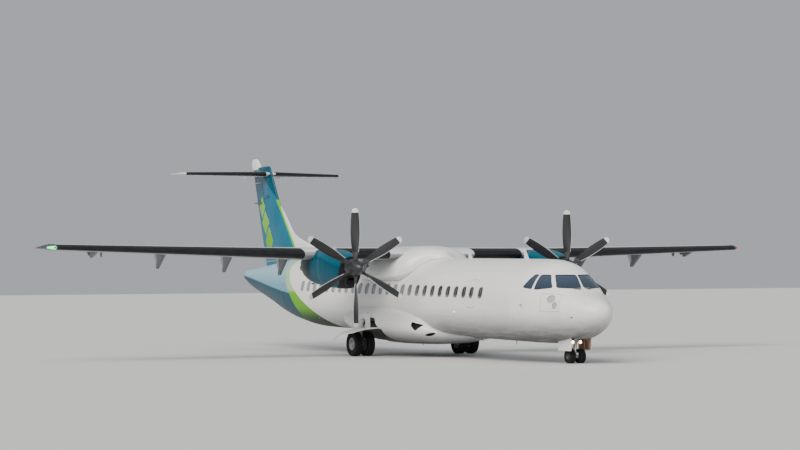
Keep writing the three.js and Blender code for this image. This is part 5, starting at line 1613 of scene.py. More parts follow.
def build_aileron():
    shape = control_surface(WING_ROWS, CAMBER, spread(*AILERON, 20), lambda lead, chord: AILERON_HINGE)
    ends = []
    for span in AILERON:
        lead, height, chord, _ = between(WING_ROWS, span)
        ends.append(at(lead + AILERON_HINGE * chord, span, height + arch(CAMBER, AILERON_HINGE) * chord))
    add_pin(shape, *ends, 0.012, 0.02)
    shape.add(aileron_bracket([(0.03, 0), (0.03, -0.19), (0.34, 0)]), 3)
    for span in (10.2, 10.9, 11.6, 12.3, 13.0):
        add_wick(shape, WING_ROWS, span, 0.11)
    return shape


def build_boot(inner, outer, rows, camber, upper, lower, count):
    """Rubber strip over a leading edge, a few millimetres proud of it."""
    reach = [(upper * (1 - k / 9) ** 2, 1) for k in range(10)]
    reach += [(lower * (k / 9) ** 2, -1) for k in range(1, 10)]
    rings = []
    for span in spread(inner, outer, count):
        lead, height, chord, thick = between(rows, span)
        path = [Vector((share * chord, (arch(camber, share) + side * foil_half(share, thick)) * chord))
                for share, side in reach]
        outer_line, inner_line = [], []
        for i, here in enumerate(path):
            along = (path[min(i + 1, len(path) - 1)] - path[max(i - 1, 0)]).normalized()
            out = Vector((-along.y, along.x))
            if out.dot(here - Vector((0.3 * chord, 0))) < 0:
                out = -out
            rim = 0.0005 if i in (0, len(path) - 1) else 0.0045
            outer_line.append(here + out * rim)
            inner_line.append(here - out * 0.004)
        rings.append(placed(outer_line + inner_line[::-1], lead, span, height))
    return Shape().rings(rings)


def build_tip_light():
    """Clear cover let into the corner of the wing tip. The cover itself glows as the lamp."""
    rings = []
    for share, slim in ((0.0, 1.02), (0.3, 1.02), (0.6, 1.0), (0.85, 0.8), (1.0, 0.5)):
        span = 13.26 + 0.25 * share
        lead, height, chord, thick = between(WING_ROWS, span)
        reach = 0.07 * (1 - 0.35 * share)
        half = foil_half(0.05, thick) * chord * slim
        bends = [math.pi * k / 14 for k in range(15)]
        rings.append([at(lead - 0.002 + reach * (1 - math.sin(t)), span, height + math.cos(t) * half)
                      for t in bends])
    return Shape().rings(rings)


WING_FINISHES = [WING_PAINT, FORK_PAINT, BAY_PAINT]
pair("wing_panel_skin_{side}", build_wing_panel(), WING_FINISHES, replaces=["wing_panel_{side}"], sharp=30)
show("wing_centre_skin", build_wing_centre(), WING_FINISHES, slot="white_skin", replaces=["wing_centre"],
     sharp=30)
for place, spans in (("inboard", FLAP_INBOARD), ("outboard", FLAP_OUTBOARD)):
    pair(f"flap_{place}_skin_{{side}}", build_flap(*spans), [FLAP_PAINT, STEEL], f"flap_{place}_{{side}}",
         "grey_composite", [f"flap_{place}_{{side}}"])
pair("aileron_skin_{side}", build_aileron(), [FLAP_PAINT, STEEL, DARK_SEAL_AND_GAP_SHADE, FORK_PAINT], "aileron_{side}",
     "grey_composite", ["aileron_{side}"])
for place, inner, outer, count in (("outer", 4.84, 13.20, 40), ("inner", 1.64, 3.54, 12)):
    pair(f"wing_boot_{place}_{{side}}", build_boot(inner, outer, WING_ROWS, CAMBER, 0.17, 0.085, count),
         [BOOT_RUBBER])
show("tip_light_left", build_tip_light(), [LAMP_RED])
show("tip_light_right", build_tip_light().mirrored(), [LAMP_GREEN])


# Engines and propellers

NACELLE = Curve(NACELLE_ROWS)
INTAKE = [(-0.215, 2.50), (-0.14, 2.43), (0.14, 2.43), (0.215, 2.50), (0.215, 2.63), (0.13, 2.695),
          (-0.13, 2.695), (-0.215, 2.63)]
EXHAUST = [(0.1, 0.0), (0.118, -0.01), (0.12, -0.05), (0.12, -0.8), (0.104, -0.8), (0.104, -0.05), (0.1, 0.0)]
SHAFT = Vector((0, ENGINE_SPAN, SHAFT_Z))


def engine_at(station, out, z):
    return at(station, ENGINE_SPAN + out, z)


def nacelle_ring(station, row, trim=0.0):
    half, crown, wide, keel, above, below = row
    return oval(station, half - trim, crown - trim, wide, keel + trim, above, below, 72, ENGINE_SPAN)


def build_nacelle():
    """Cowling with a rolled front lip, a chin intake, a hollow exhaust and small scoops."""
    rings = []
    for turn in spread(0, math.pi / 2, 5):
        trim = 0.03 * (1 - math.sin(turn))
        rings.append(nacelle_ring(9.02 + 0.03 * (1 - math.cos(turn)), NACELLE.one(9.02), trim))
    rings += [nacelle_ring(s, NACELLE.one(s)) for s in spread(9.06, 12.85, 76)]
    work = opened(Shape().rings(rings))
    mouth = rounded([Vector((ENGINE_SPAN + y, z)) for y, z in INTAKE], 0.04, 3)
    pool = [f for f in work.faces if f.calc_center_median().x > NOSE_X - 9.2]
    band, inside = ring_faces(work, grown(mouth, 0.02), mouth, 0, pool)
    front = [f for f in inside if f.calc_center_median().x > NOSE_X - 9.1]
    paint(band, 3)
    # The intake is a shallow pocket whose floor and walls are near black, painted shade of a deep duct
    sink(work, front, lambda points: [Vector((NOSE_X - 9.12, p.y, p.z)) for p in points], 1, 1)
    shape = from_mesh(closed("nacelle_work", work))
    pipe = turned(EXHAUST, Vector((0, 0, 0)), "x", 40)
    backwards = Matrix.Rotation(math.pi, 4, "Z")
    shape.add(pipe.moved(Matrix.Translation(engine_at(12.78, 0.06, 3.06)) @ backwards), 2)
    for station, out, z, size in ((9.95, 0.475, 3.19, 0.022), (9.5, 0.40, 3.37, 0.016)):
        for sign in (1, -1):
            centre = engine_at(station, sign * (out - 0.02), z)
            shape.bar([centre, centre + across(sign * 0.025)], size, 16, 1)
    crown = NACELLE.one(10.88)[1]
    bump = [engine_at(station, 0, crown + up)
            for station, up in ((10.80, -0.01), (10.88, 0.055), (11.02, 0.03))]
    shape.bar(bump, [0.025, 0.035, 0.02], 12, 1)
    for z in (2.52, 3.32):
        scoop = engine_at(11.1, 0.44, z)
        line = [scoop, scoop + Vector((0.02, 0.05, 0)), scoop + Vector((-0.12, 0.02, 0))]
        shape.bar(line, [0.03, 0.028, 0.012], 12)
    return shape


def spinner_radius(station):
    share = (station - SPINNER["tip"]) / (SPINNER["back"] - SPINNER["tip"])
    return SPINNER["radius"] * (1 - (1 - share) ** 2) ** SPINNER["taper"]


def spinner_profile(stations):
    return [(spinner_radius(s), NOSE_X - s) for s in stations]


def split_end(gap):
    """Rim of the flat face where the spinner's cone and back part meet."""
    return spinner_radius(SPINNER_SPLIT) - 0.02, NOSE_X - SPINNER_SPLIT + gap


def build_spinner():
    tip = [SPINNER["tip"] + 0.08 * (k / 8) ** 2 for k in range(9)]
    body = spread(SPINNER["tip"] + 0.095, SPINNER_SPLIT - 0.002, 14)
    rim = split_end(0.002)
    return turned([*spinner_profile(tip + body), rim, (0.0, rim[1])], SHAFT, "x", 72)


BLADE = Curve(BLADE_ROWS)
BLADE_END = 1.9  # radius where the tip begins to round off
CUFF_RADIUS = 0.065
BLADE_FINISHES = [BLADE_PAINT, BLADE_TIP, DARK_SEAL_AND_GAP_SHADE, POLISHED, CHARCOAL_PAINT, DARK_SEAL_AND_GAP_SHADE, STEEL]


def build_blade():
    """One blade along +z: a round root that turns into a twisted airfoil.
    Marks: 0 blade, 1 tip, 2 root cuff, 3 edge strip."""
    shape = Shape()
    radii = spread(0.22, BLADE_END, 40) + [1.925, 1.942, 1.953, 1.96, 1.962]
    rings = []
    for radius in radii:
        chord, thick, pitch = BLADE.one(radius)
        if radius > BLADE_END:
            chord *= max(0.25, math.sqrt(max(0.0, 1 - ((radius - BLADE_END) / 0.0635) ** 2)))
        turn = math.radians(pitch)
        roundness = max(0.0, min(1.0, (0.46 - radius) / 0.2))
        ring = []
        for k, (aft, up) in enumerate(foil(1.0, 0.12, 0.02, 14)):
            angle = math.pi * k / 14
            along = (0.5 - aft) * chord * (1 - roundness) - roundness * CUFF_RADIUS * math.cos(angle)
            rise = up / 0.12 * thick * (1 - roundness) + roundness * CUFF_RADIUS * math.sin(angle)
            ring.append(Vector((along * math.sin(turn) + rise * math.cos(turn),
                                along * math.cos(turn) - rise * math.sin(turn), radius)))
        rings.append(ring)
    shape.rings(rings)
    count = len(rings[0])
    for number in range(len(shape.faces) - 2):
        radius, place = radii[number // count], number % count
        strip = 3 if 12 <= place <= 15 else 0
        shape.marks[number] = 1 if radius > 1.78 else 2 if radius < 0.50 else strip
    shape.marks[-1] = 1
    return shape


def build_propeller():
    """Hub, spinner back, six blades, dark rings of painted shade for the holes they come out of, and the shaft.
    """
    rim, back = split_end(-0.002), NOSE_X - SPINNER["back"]
    stations = spread(SPINNER_SPLIT + 0.002, SPINNER["back"] - 0.006, 16)
    profile = [(0.0, rim[1]), rim, *spinner_profile(stations), (SPINNER["radius"] - 0.008, back), (0.0, back)]
    shape = turned(profile, SHAFT, "x", 72, 4)
    blade = build_blade()
    # Dark ring round each blade root: painted shade of the hole it comes out of
    hole = [(0.082, 0), (0.094, 0), (0.094, 0.012), (0.082, 0.012), (0.082, 0)]
    ring = turned(hole, Vector((0, 0, 0)), "x", 32, 5)
    upright = Matrix.Rotation(-math.pi / 2, 4, "Y")
    stand = Matrix.Translation((0, 0, spinner_radius(BLADE_STATION) - 0.016)) @ upright
    for angle in turns(BLADE_COUNT):
        turn = Matrix.Translation(engine_at(BLADE_STATION, 0, SHAFT_Z)) @ Matrix.Rotation(angle, 4, "X")
        shape.add(blade.moved(turn)).add(ring.moved(turn @ stand))
    return shape.bar([engine_at(8.95, 0, SHAFT_Z), engine_at(9.115, 0, SHAFT_Z)], 0.07, 32, 6)


pair("nacelle_skin_{side}", build_nacelle(), [NACELLE_PAINT, BLACK_AND_CAVITY_SHADE, EXHAUST_METAL, CHARCOAL_PAINT],
     slot="teal_composite", replaces=["nacelle_{side}"], sharp=32)
SPINNER_CONE, PROPELLER = build_spinner(), build_propeller()
for side_name, sideways in (("left", 0), ("right", -2 * ENGINE_SPAN)):
    shift, body = Matrix.Translation((0, sideways, 0)), f"propeller_{side_name}"
    show(f"spinner_cone_{side_name}", SPINNER_CONE.moved(shift), [CHARCOAL_PAINT], body, "charcoal_composite",
         [f"spinner_{side_name}"])
    show(f"propeller_blades_{side_name}", PROPELLER.moved(shift), BLADE_FINISHES, body, "charcoal_composite",
         [f"propeller_{side_name}"])


# Tail

FIN = Curve(FIN_ROWS)


def rudder_hinge(height):
    foot, head = RUDDER_FOOT, RUDDER_HEAD
    return foot[0] + (height - foot[1]) * (head[0] - foot[0]) / (head[1] - foot[1])


def fin_ring(height):
    lead, trail, thick = FIN.one(height)
    return [at(lead + aft, up, height) for aft, up in foil(trail - lead, thick)]


def build_fin():
    rings = []
    for height in (RUDDER_FOOT[1] - RUDDER_END_GAP, RUDDER_HEAD[1] + RUDDER_END_GAP):
        front = rudder_hinge(height) - (RUDDER_FOOT[2] * 1.09 + GAP)
        corners = [(front, -0.9), (front, 0.9), (front + 3, 0.9), (front + 3, -0.9)]
        rings.append([at(station, y, height) for station, y in corners])
    solid = Shape().rings([fin_ring(height) for height in spread(3.10, 7.12, 44)])
    # The cut faces that face the rudder take the dark finish, painted shade in the gap
    return carved(solid, [Shape().rings(rings)])


def ellipse(z, front, back, half):
    """Level oval ring about the plane of symmetry."""
    middle, reach = (front + back) / 2, (back - front) / 2
    return [at(middle + reach * math.cos(t), half * math.sin(t), z) for t in turns(32)]


def build_fin_cap():
    """Rounded top of the fin with the pale beacon fairing and its lens."""
    rings = []
    for height, slim in ((7.12, 1.0), (7.16, 0.97), (7.20, 0.88), (7.23, 0.72), (7.245, 0.5), (7.25, 0.3)):
        lead, trail, thick = FIN.one(height)
        middle, reach = (lead + trail) / 2, 0.9 + 0.1 * slim
        outline = foil(trail - lead, thick)
        rings.append([at(middle + (lead + aft - middle) * reach, up * slim, height) for aft, up in outline])
    shape = Shape().rings(rings)
    shape.rings([ellipse(*row) for row in BEACON_FAIRING], 1)
    return shape.rings([ellipse(*row) for row in BEACON_LENS], 2)


def build_dorsal():
    """Long white fillet ahead of the fin."""
    curve = Curve(DORSAL_ROWS)
    rings = []
    for station in spread(DORSAL_ROWS[0][0], DORSAL_ROWS[-1][0], 90):
        base = HULL.one(crowded(station))[1] - 0.06
        tall = max(curve.one(station)[0] - base, 0.02)
        ring = []
        for k in range(25):
            turn = math.pi * k / 24
            flare = 1 + 1.6 * math.exp(-tall * math.sin(turn) * 8)
            ring.append(at(station, 0.05 * flare * math.cos(turn), base + tall * math.sin(turn) ** 0.8))
        rings.append(ring)
    return Shape().rings(rings)


def build_rudder():
    rings = []
    for height in spread(RUDDER_FOOT[1], RUDDER_HEAD[1], 30):
        lead, trail, thick = FIN.one(height)
        chord = trail - lead
        front = (rudder_hinge(height) - lead) / chord
        outline = control_ring(chord, thick, 0, front, foil_half(front, thick) * chord)
        rings.append([at(lead + aft, up, height) for aft, up in outline])
    shape = Shape().rings(rings)
    foot, head = (at(station, 0, height) for station, height, _ in (RUDDER_FOOT, RUDDER_HEAD))
    add_pin(shape, foot, head, 0.014, 0.045)
    for height in (4.2, 5.0, 5.9, 6.3):
        trail = FIN.one(height)[1]
        shape.bar([at(trail - 0.01, 0, height), at(trail + 0.11, 0, height - 0.01)], 0.003, 6, 2)
    return shape


def build_pods(rows):
    """Slim teardrop fairings along the flight line, on both sides: (front, back, out, height, half width)."""
    shape = Shape()
    for front, back, out, z, half in rows:
        for y in (out, -out):
            rings = []
            for k in range(13):
                share = k / 12
                size = half * (math.sin(math.pi * min(1, share ** 0.72)) ** 0.8 if 0 < k < 12 else 0.02)
                station = front + (back - front) * share
                rings.append([at(station, y + size * math.cos(t), z + size * math.sin(t)) for t in turns(16)])
            shape.rings(rings)
    return shape


def build_tailplane():
    tip = [(3.40, 1.0), (3.50, 0.9), (3.57, 0.76), (3.62, 0.58), (3.645, 0.4), (3.655, 0.25)]
    rows = [(-span, slim) for span, slim in reversed(tip)]
    rows += [(span, 1.0) for span in spread(-3.35, 3.35, 25)] + tip
    solid = Shape().rings([surface_ring(TAILPLANE_ROWS, 0, span, slim) for span, slim in rows])
    hinge, ahead = ELEVATOR["hinge"], ELEVATOR["inner"] + GAP
    gap = block(hinge - ahead, hinge + 2, ELEVATOR["from"] - GAP, ELEVATOR["to"] + GAP, 6, 8)
    # The cut faces that face the elevators take the dark finish, painted shade in the gap
    return carved(solid, [gap, gap.mirrored()])


def build_elevator():
    hinge, ends = ELEVATOR["hinge"], (ELEVATOR["from"], ELEVATOR["to"])
    shape = control_surface(TAILPLANE_ROWS, 0, spread(*ends, 20), lambda lead, chord: (hinge - lead) / chord)
    add_pin(shape, *[at(hinge, span, TAILPLANE_Z) for span in ends], 0.010, 0.02)
    for span in (0.9, 1.7, 2.5, 3.2):
        add_wick(shape, TAILPLANE_ROWS, span, 0.1)
    return shape


for name, shape, finishes, body, replaces, sharp in (
        ("fin_skin", build_fin(), [FIN_PAINT, DARK_SEAL_AND_GAP_SHADE], "airframe", ["fin"], 30),
        ("fin_fillet", build_dorsal(), [WHITE_PAINT], "airframe", [], 35),
        ("fin_cap", build_fin_cap(), [FIN_PAINT, WHITE_PAINT, BEACON_GLASS], "airframe", ["fin_tip"], 35),
        ("fin_pods", build_pods([(24.66, 25.26, 0.13, 6.02, 0.04)]), [TEAL_PAINT], "airframe", [], 35),
        ("rudder_pods", build_pods([(25.45, 26.35, 0.09, 5.79, 0.035)]), [TEAL_PAINT], "rudder", [], 35),
        ("tail_root_cones", build_pods([(24.66, 25.10, 0.15, TAILPLANE_Z, 0.05),
                                        (25.45, 26.04, 0.72, TAILPLANE_Z - 0.10, 0.045)]),
         [WHITE_PAINT], "airframe", [], 35),
        ("rudder_skin", build_rudder(), [FIN_PAINT, STEEL, DARK_SEAL_AND_GAP_SHADE], "rudder", ["rudder"], 35),
        ("tailplane_skin", build_tailplane(), [ELEVATOR_PAINT, DARK_SEAL_AND_GAP_SHADE], "airframe", ["tailplane"], 30)):
    show(name, shape, finishes, body, "teal_composite", replaces, sharp)
pair("elevator_skin_{side}", build_elevator(), [ELEVATOR_PAINT, STEEL, DARK_SEAL_AND_GAP_SHADE], "elevator_{side}",
     "teal_composite", ["elevator_{side}"])
pair("tail_boot_{side}", build_boot(0.17, 3.34, TAILPLANE_ROWS, 0, 0.15, 0.15, 20), [BOOT_RUBBER],
     slot="teal_composite")


# Landing gear

def hub_height(gear):
    return gear["radius"] * ROUND_WHEEL


def wheel_centre(gear, side):
    return at(gear["station"], gear["span"] + side * gear["apart"], hub_height(gear))


def build_tyre(gear, side):
    """Tyre with a curved side wall, a bead and grooves round the tread."""
    radius, half, rim = hub_height(gear), gear["width"] / 2, gear["rim"]
    depth = 0.006 if radius < 0.3 else 0.009
    wall = []
    for k in range(9):
        turn = math.pi / 2 * k / 8
        share = 0.80 + 0.20 * math.sin(turn * 1.6) if k < 8 else 0.80
        wall.append((rim + (radius - rim) * (0.06 + 0.90 * math.sin(turn) ** 0.9), share))
    tread = [(radius * 0.985, 0.70), (radius * 0.996, 0.58)]
    for edge in (0.44, 0.16, -0.12, -0.40):
        tread += [(radius, edge + 0.03), (radius - depth, edge + 0.022), (radius - depth, edge - 0.022),
                  (radius, edge - 0.03)]
    tread += [(radius * 0.996, -0.58), (radius * 0.985, -0.70)]
    bead = rim + 0.001
    whole = wall + tread + [(r, -share) for r, share in reversed(wall)] + [(bead, -0.80), (bead, 0.80), wall[0]]
    return turned([(max(r, bead), half * share) for r, share in whole], wheel_centre(gear, side), "y", 80)


# Wheel half in shares of the rim's radius and of half the tyre's width. Below 0 is the outer face
WHEEL_PROFILE = [
    (0.97, 0.76), (0.97, -0.76), (0.985, -0.76), (1, -0.80), (1.03, -0.82), (1.03, -0.87), (0.97, -0.88),
    (0.90, -0.80), (0.86, -0.55), (0.80, -0.44), (0.62, -0.40), (0.46, -0.44), (0.40, -0.56), (0.34, -0.60),
    (0.32, -0.72), (0.18, -0.78), (0.0, -0.79), (0.0, 0.40), (0.5, 0.40), (0.8, 0.44), (0.9, 0.76),
    (0.97, 0.76)]


def build_wheel(gear, side, holes, bolts):
    """Wheel half with a rolled rim, dished web, vent holes shown as near-black discs of painted shade, bolts
    and a hub cap. side is the way it faces.
    """
    half, rim, centre = gear["width"] / 2, gear["rim"], wheel_centre(gear, side)
    shape = turned([(r * rim, -side * a * half) for r, a in WHEEL_PROFILE], centre, "y", 72)
    # The vent holes are near-black discs, painted shade in place of holes
    for count, first, reach, out, start, end, radius, sides, mark in (
            (holes, math.pi / holes, 0.69, 0.425, -0.006, 0.002, 0.075, 16, 1),
            (bolts, 0, 0.53, 0.40, 0, 0.014, 0.035, 6, 2)):
        for turn in turns(count):
            around = Vector((math.cos(turn + first), 0, math.sin(turn + first))) * rim * reach
            spot = centre + around + across(side * half * out)
            shape.bar([spot + across(side * start), spot + across(side * end)], rim * radius, sides, mark)
    return shape


def build_wheel_pair(gear, holes, bolts):
    shape = build_wheel(gear, 1, holes, bolts).add(build_wheel(gear, -1, holes, bolts))
    return shape.bar([wheel_centre(gear, -1), wheel_centre(gear, 1)], gear["rim"] * 0.2, 32, 2)


def add_collar(shape, start, end, share, radius, length=0.03, mark=2):
    """Ring round a bar, at a share of its length."""
    middle = start.lerp(end, share)
    along = (end - start).normalized() * length / 2
    rim = radius * 0.94
    shape.bar([middle - along, middle - along * 0.8, middle + along * 0.8, middle + along],
              [rim, radius, radius, rim], 24, mark)


def build_main_leg():
    """Port main leg: cross arm, leg, shock strut, brakes and their lines.
    Marks: 0 paint, 1 chrome, 2 steel, 3 hose, 4 brake."""
    station, span, hub = MAIN_GEAR["station"], MAIN_GEAR["span"], hub_height(MAIN_GEAR)
    side, height = MAIN_LEG["hip"], MAIN_LEG["shoulder"]
    shoulder, foot = at(station, span, height), at(station, span, hub)
    hip, strut = at(station - 0.04, side, height + 0.13), at(station + 0.09, side, height - 0.17)
    grip = at(station + 0.04, span, height - 0.06)
    shape = Shape()
    for points, radius, sides, mark in (
            ([hip, hip.lerp(shoulder, 0.15), hip.lerp(shoulder, 0.85), shoulder],
             [0.08, 0.072, 0.066, 0.08], 32, 0),
            ([shoulder + Vector((0, 0, 0.06)), shoulder, foot.lerp(shoulder, 0.55), foot],
             [0.05, 0.072, 0.064, 0.058], 32, 0),
            ([strut, strut.lerp(grip, 0.55)], 0.042, 28, 0),
            ([strut.lerp(grip, 0.5), grip], 0.029, 28, 1),
            ([foot - across(0.078), foot + across(0.078)], 0.09, 36, 0)):
        shape.bar(points, radius, sides, mark)
    for share in (0.12, 0.5, 0.9):
        add_collar(shape, strut, strut.lerp(grip, 0.56), share, 0.048)
    for share in (0.2, 0.5, 0.8):
        add_collar(shape, foot, shoulder, share, 0.075, 0.022, 0)
    add_collar(shape, hip, shoulder, 0.94, 0.086, 0.05)
    for way in (1, -1):
        inner = foot + across(way * 0.082)
        disc = [(0.06, 0), (0.19, 0), (0.19, way * 0.012), (0.06, way * 0.012), (0.06, 0)]
        shape.add(turned(disc, inner, "y", 48, 4))
        for turn in turns(6):
            spot = inner + Vector((math.cos(turn + 0.3), 0, math.sin(turn + 0.3))) * 0.13
            shape.bar([spot - across(way * 0.035), spot], 0.022, 14, 2)
    for dx in (-0.085, 0.085):
        shape.bar([foot + Vector((dx * 0.6, 0.02, 0.08)), foot.lerp(shoulder, 0.3) + Vector((dx, 0.03, 0)),
                   shoulder + Vector((dx * 1.1, -0.05, -0.02))], 0.012, 10, 2)
    for k, dx in enumerate((-0.09, -0.075, 0.08)):
        low = foot + Vector((dx * 1.1, -0.03 + 0.03 * k, 0.06))
        high = shoulder + Vector((dx, -0.10, -0.03 + 0.03 * k))
        shape.bar(bowed(low, high, (dx * 0.6, -0.02, 0), 12), 0.008, 8, 3)
        shape.bar(bowed(high, hip + Vector((dx, 0.12, -0.06)), (0, 0, -0.05), 9), 0.008, 8, 3)
    lug = foot.lerp(shoulder, 0.62).z
    shape.add(block(station - 0.16, station - 0.05, span - 0.03, span + 0.03, lug - 0.04, lug + 0.05), 2)
    small_lug = block(station + 0.05, station + 0.13, span - 0.025, span + 0.025, lug - 0.09, lug - 0.01)
    return shape.add(small_lug, 2)


def build_main_door():
    """Curved door under the leg and its upright panel, both cut out round the leg."""
    door, panel, curve = MAIN_DOOR, DOOR_PANEL, Curve(MAIN_DOOR_CURVE)
    rings = []
    for station, share in ((door["front"], 0.0), (door["front"] + 0.4, 0.1), (door["front"] + 0.8, 0.26),
                           (door["middle"], 0.45), (12.95, 0.75), (door["back"], 1.0)):
        upper, lower = [], []
        for span in spread(1.4, 2.82, 30):
            front, back = curve.one(span)
            z = front + share * (back - front)
            upper.append(at(station, span, z))
            lower.append(at(station, span, z - door["thick"]))
        rings.append(upper + lower[::-1])
    station, span = MAIN_GEAR["station"], MAIN_GEAR["span"]
    leg = Shape().bar([at(station, span, 0.5), at(station, span, 1.19)], 0.078, 32)
    outline = rounded(side_view([(panel["front"], panel["bottom"]), (panel["front"] + 0.03, panel["top"]),
                                 (panel["back"], panel["top"]), (panel["back"], panel["bottom"])]), 0.05, 4)
    upright = slab(outline, panel["span"], panel["span"] + door["thick"])
    middle, height = station + 0.015, MAIN_LEG["shoulder"] - 0.015
    hole = Shape().bar([at(middle, 1.5, height), at(middle, 2.5, height)], 0.13, 32)
    return carved(Shape().rings(rings), [leg]).add(carved(upright, [hole, leg]))


def build_gear_details():
    """Ribs and stays of the port main gear door, and the pipes of its bay."""
    station, span, door, curve = MAIN_GEAR["station"], MAIN_GEAR["span"], MAIN_DOOR, Curve(MAIN_DOOR_CURVE)
    shape = Shape()
    for place in (11.75, 12.15, 12.95):
        share = (place - door["front"]) / (door["back"] - door["front"]) * 0.6
        rib = []
        for y in spread(1.5, 2.7, 8):
            front, back = curve.one(y)
            rib.append(at(place, y, front + share * (back - front) - 0.04))
        shape.bar(rib, 0.016, 8)
    for place in (12.28, 12.72):
        knee = at(station + (place - station) * 0.3, span, 0.78)
        shape.bar([at(place, span - 0.02, 0.93), knee], 0.012, 10, 1)
    for place in spread(11.5, 13.02, 5):
        shape.bar([at(place, 0.9, 1.44), at(place, 1.55, 1.44)], 0.022, 10, 2)
    for z in (1.1, 1.25, 1.36):
        shape.bar(bowed(at(11.35, 1.2, z), at(13.2, 1.25, z - 0.04), (0, 0.03, 0.03), 12), 0.011, 8, 3)
    return shape


LEG_FINISHES = [GEAR_PAINT, CHROME, STEEL, HOSE_RUBBER, BRAKE_METAL]
pair("main_leg_{side}", build_main_leg(), LEG_FINISHES, slot="gear_steel", replaces=["main_gear_leg_{side}"])
pair("main_door_{side}", build_main_door(), [WHITE_PAINT, GREY_SEAL], replaces=["main_gear_door_{side}"],
     sharp=40, bevel=0.003)
pair("main_bay_details_{side}", build_gear_details(), [GREY_PAINT, STEEL, BAY_PAINT, HOSE_RUBBER],
     slot="gear_steel")
pair("main_wheel_discs_{side}", build_wheel_pair(MAIN_GEAR, 9, 12), [WHEEL_PAINT, BLACK_AND_CAVITY_SHADE, STEEL],
     "main_wheel_pair_{side}", "wheel_metal", ["main_wheels_{side}"])
for side_name, sign in (("left", 1), ("right", -1)):
    for name, way in (("outer", 1), ("inner", -1)):
        tyre = build_tyre(MAIN_GEAR, way)
        show(f"main_tread_{name}_{side_name}", tyre if sign > 0 else tyre.mirrored(), [TYRE_RUBBER],
             f"main_wheel_pair_{side_name}", "tyre_rubber", [f"main_tyre_{name}_{side_name}"])


def build_nose_leg():
    """Fixed upper nose leg with its drag brace, collars, hoses and lamp bracket."""
    station, roof = NOSE_GEAR["station"], NOSE_BAY["roof"]
    heights = [roof - 0.002, 1.0, 0.7, STEERING_Z + 0.002]
    shape = Shape().bar([at(station, 0, z) for z in heights], [0.075, 0.062, 0.058, 0.062], 32)
    shape.bar([at(NOSE_BAY["back"] - 0.06, 0, roof - 0.09), at(station, 0, 0.76)], 0.026, 20)
    for z in (0.62, 0.74, 0.92):
        add_collar(shape, at(station, 0, 0.5), at(station, 0, 1.1), (z - 0.5) / 0.6, 0.07)
    shape.bar([at(station, -0.30, 1.05), at(station, 0.30, 1.05)], 0.026, 20)
    for y in (-0.085, 0.085):
        shape.bar([at(station - 0.02, y, 0.66), at(station - 0.02, y, 0.74)], 0.024, 16, 2)
        low, high = at(station + 0.06, y, 0.62), at(station + 0.05, y * 1.5, 1.1)
        shape.bar(bowed(low, high, (-0.03, y * 0.4, 0), 10), 0.007, 8, 3)
    return shape.bar([at(station - 0.06, -0.19, 0.66), at(station - 0.06, 0.19, 0.66)], 0.013, 12, 2)


def build_nose_lamps():
    """Two round lamps that look forward. Marks: 0 shell and rim, 1 glass."""
    radius = 0.058
    shell = [(0.0, -0.075), (0.5, -0.07), (0.92, -0.03), (1.02, 0.0), (1.02, 0.008), (0.9, 0.01), (0.9, 0.004),
             (0.0, 0.004)]
    glass, back = [(0.9, 0.005), (0.6, 0.012), (0.0, 0.016)], [(0.9, 0.005), (0.0, 0.005)]
    shape = Shape()
    for y in (-0.135, 0.135):
        centre = at(NOSE_GEAR["station"] - 0.085, y, 0.655)
        for profile, mark in ((shell, 0), (glass, 1), (back, 1)):
            shape.add(turned([(radius * share, along) for share, along in profile], centre, "x", 32, mark))
    return shape


def build_nose_fork():
    """Turning part of the nose leg, with its axle tube, links and tow lug."""
    station, hub = NOSE_GEAR["station"], hub_height(NOSE_GEAR)
    shape = Shape()
    for low, high, radius, sides, mark in (
            (0.36, STEERING_Z - 0.001, 0.040, 32, 1), (hub, 0.38, 0.05, 32, 0),
            (STEERING_Z - 0.05, STEERING_Z - 0.001, 0.052, 32, 2),
            (STEERING_Z, STEERING_Z + 0.1, 0.034, 24, 2)):
        shape.bar([at(station, 0, low), at(station, 0, high)], radius, sides, mark)
    shape.bar([at(station, -0.08, hub), at(station, 0.08, hub)], 0.06, 32)
    for y in (-0.022, 0.022):
        knee = at(station + 0.15, y, 0.44)
        shape.bar([at(station + 0.04, y, 0.53), knee], 0.011, 10)
        shape.bar([knee, at(station + 0.04, y, 0.30)], 0.011, 10)
    shape.bar([at(station + 0.15, -0.035, 0.44), at(station + 0.15, 0.035, 0.44)], 0.014, 14, 2)
    lug = [(station, 0.265), (station - 0.14, 0.265), (station - 0.14, 0.335), (station, 0.335)]
    return shape.add(slab(rounded(side_view(lug), 0.02, 3), -0.04, 0.04), 0)


def build_nose_door():
    """Port nose gear door with its lining, ribs and stays."""
    front, back, bottom, top, thick = (NOSE_DOOR[key] for key in ("front", "back", "bottom", "top", "thick"))
    outline = rounded(side_view([(front, bottom), (back, bottom), (back, top), (front, top)]), 0.05, 4)
    outer = NOSE_BAY["half"] - 0.002
    inner = outer - thick
    shape = slab(outline, inner, outer)
    shape.add(slab(grown(outline, -0.03), inner - 0.002, inner + 0.002), 3)
    for station in (1.45, 1.72, 2.0):
        shape.bar([at(station, inner - 0.004, z) for z in (bottom + 0.06, top - 0.02)], 0.01, 8, 1)
    for station in (1.5, 1.95):
        shape.bar([at(station, inner - 0.01, top - 0.16), at(1.72, 0.05, 1.0)], 0.009, 10, 2)
    return shape


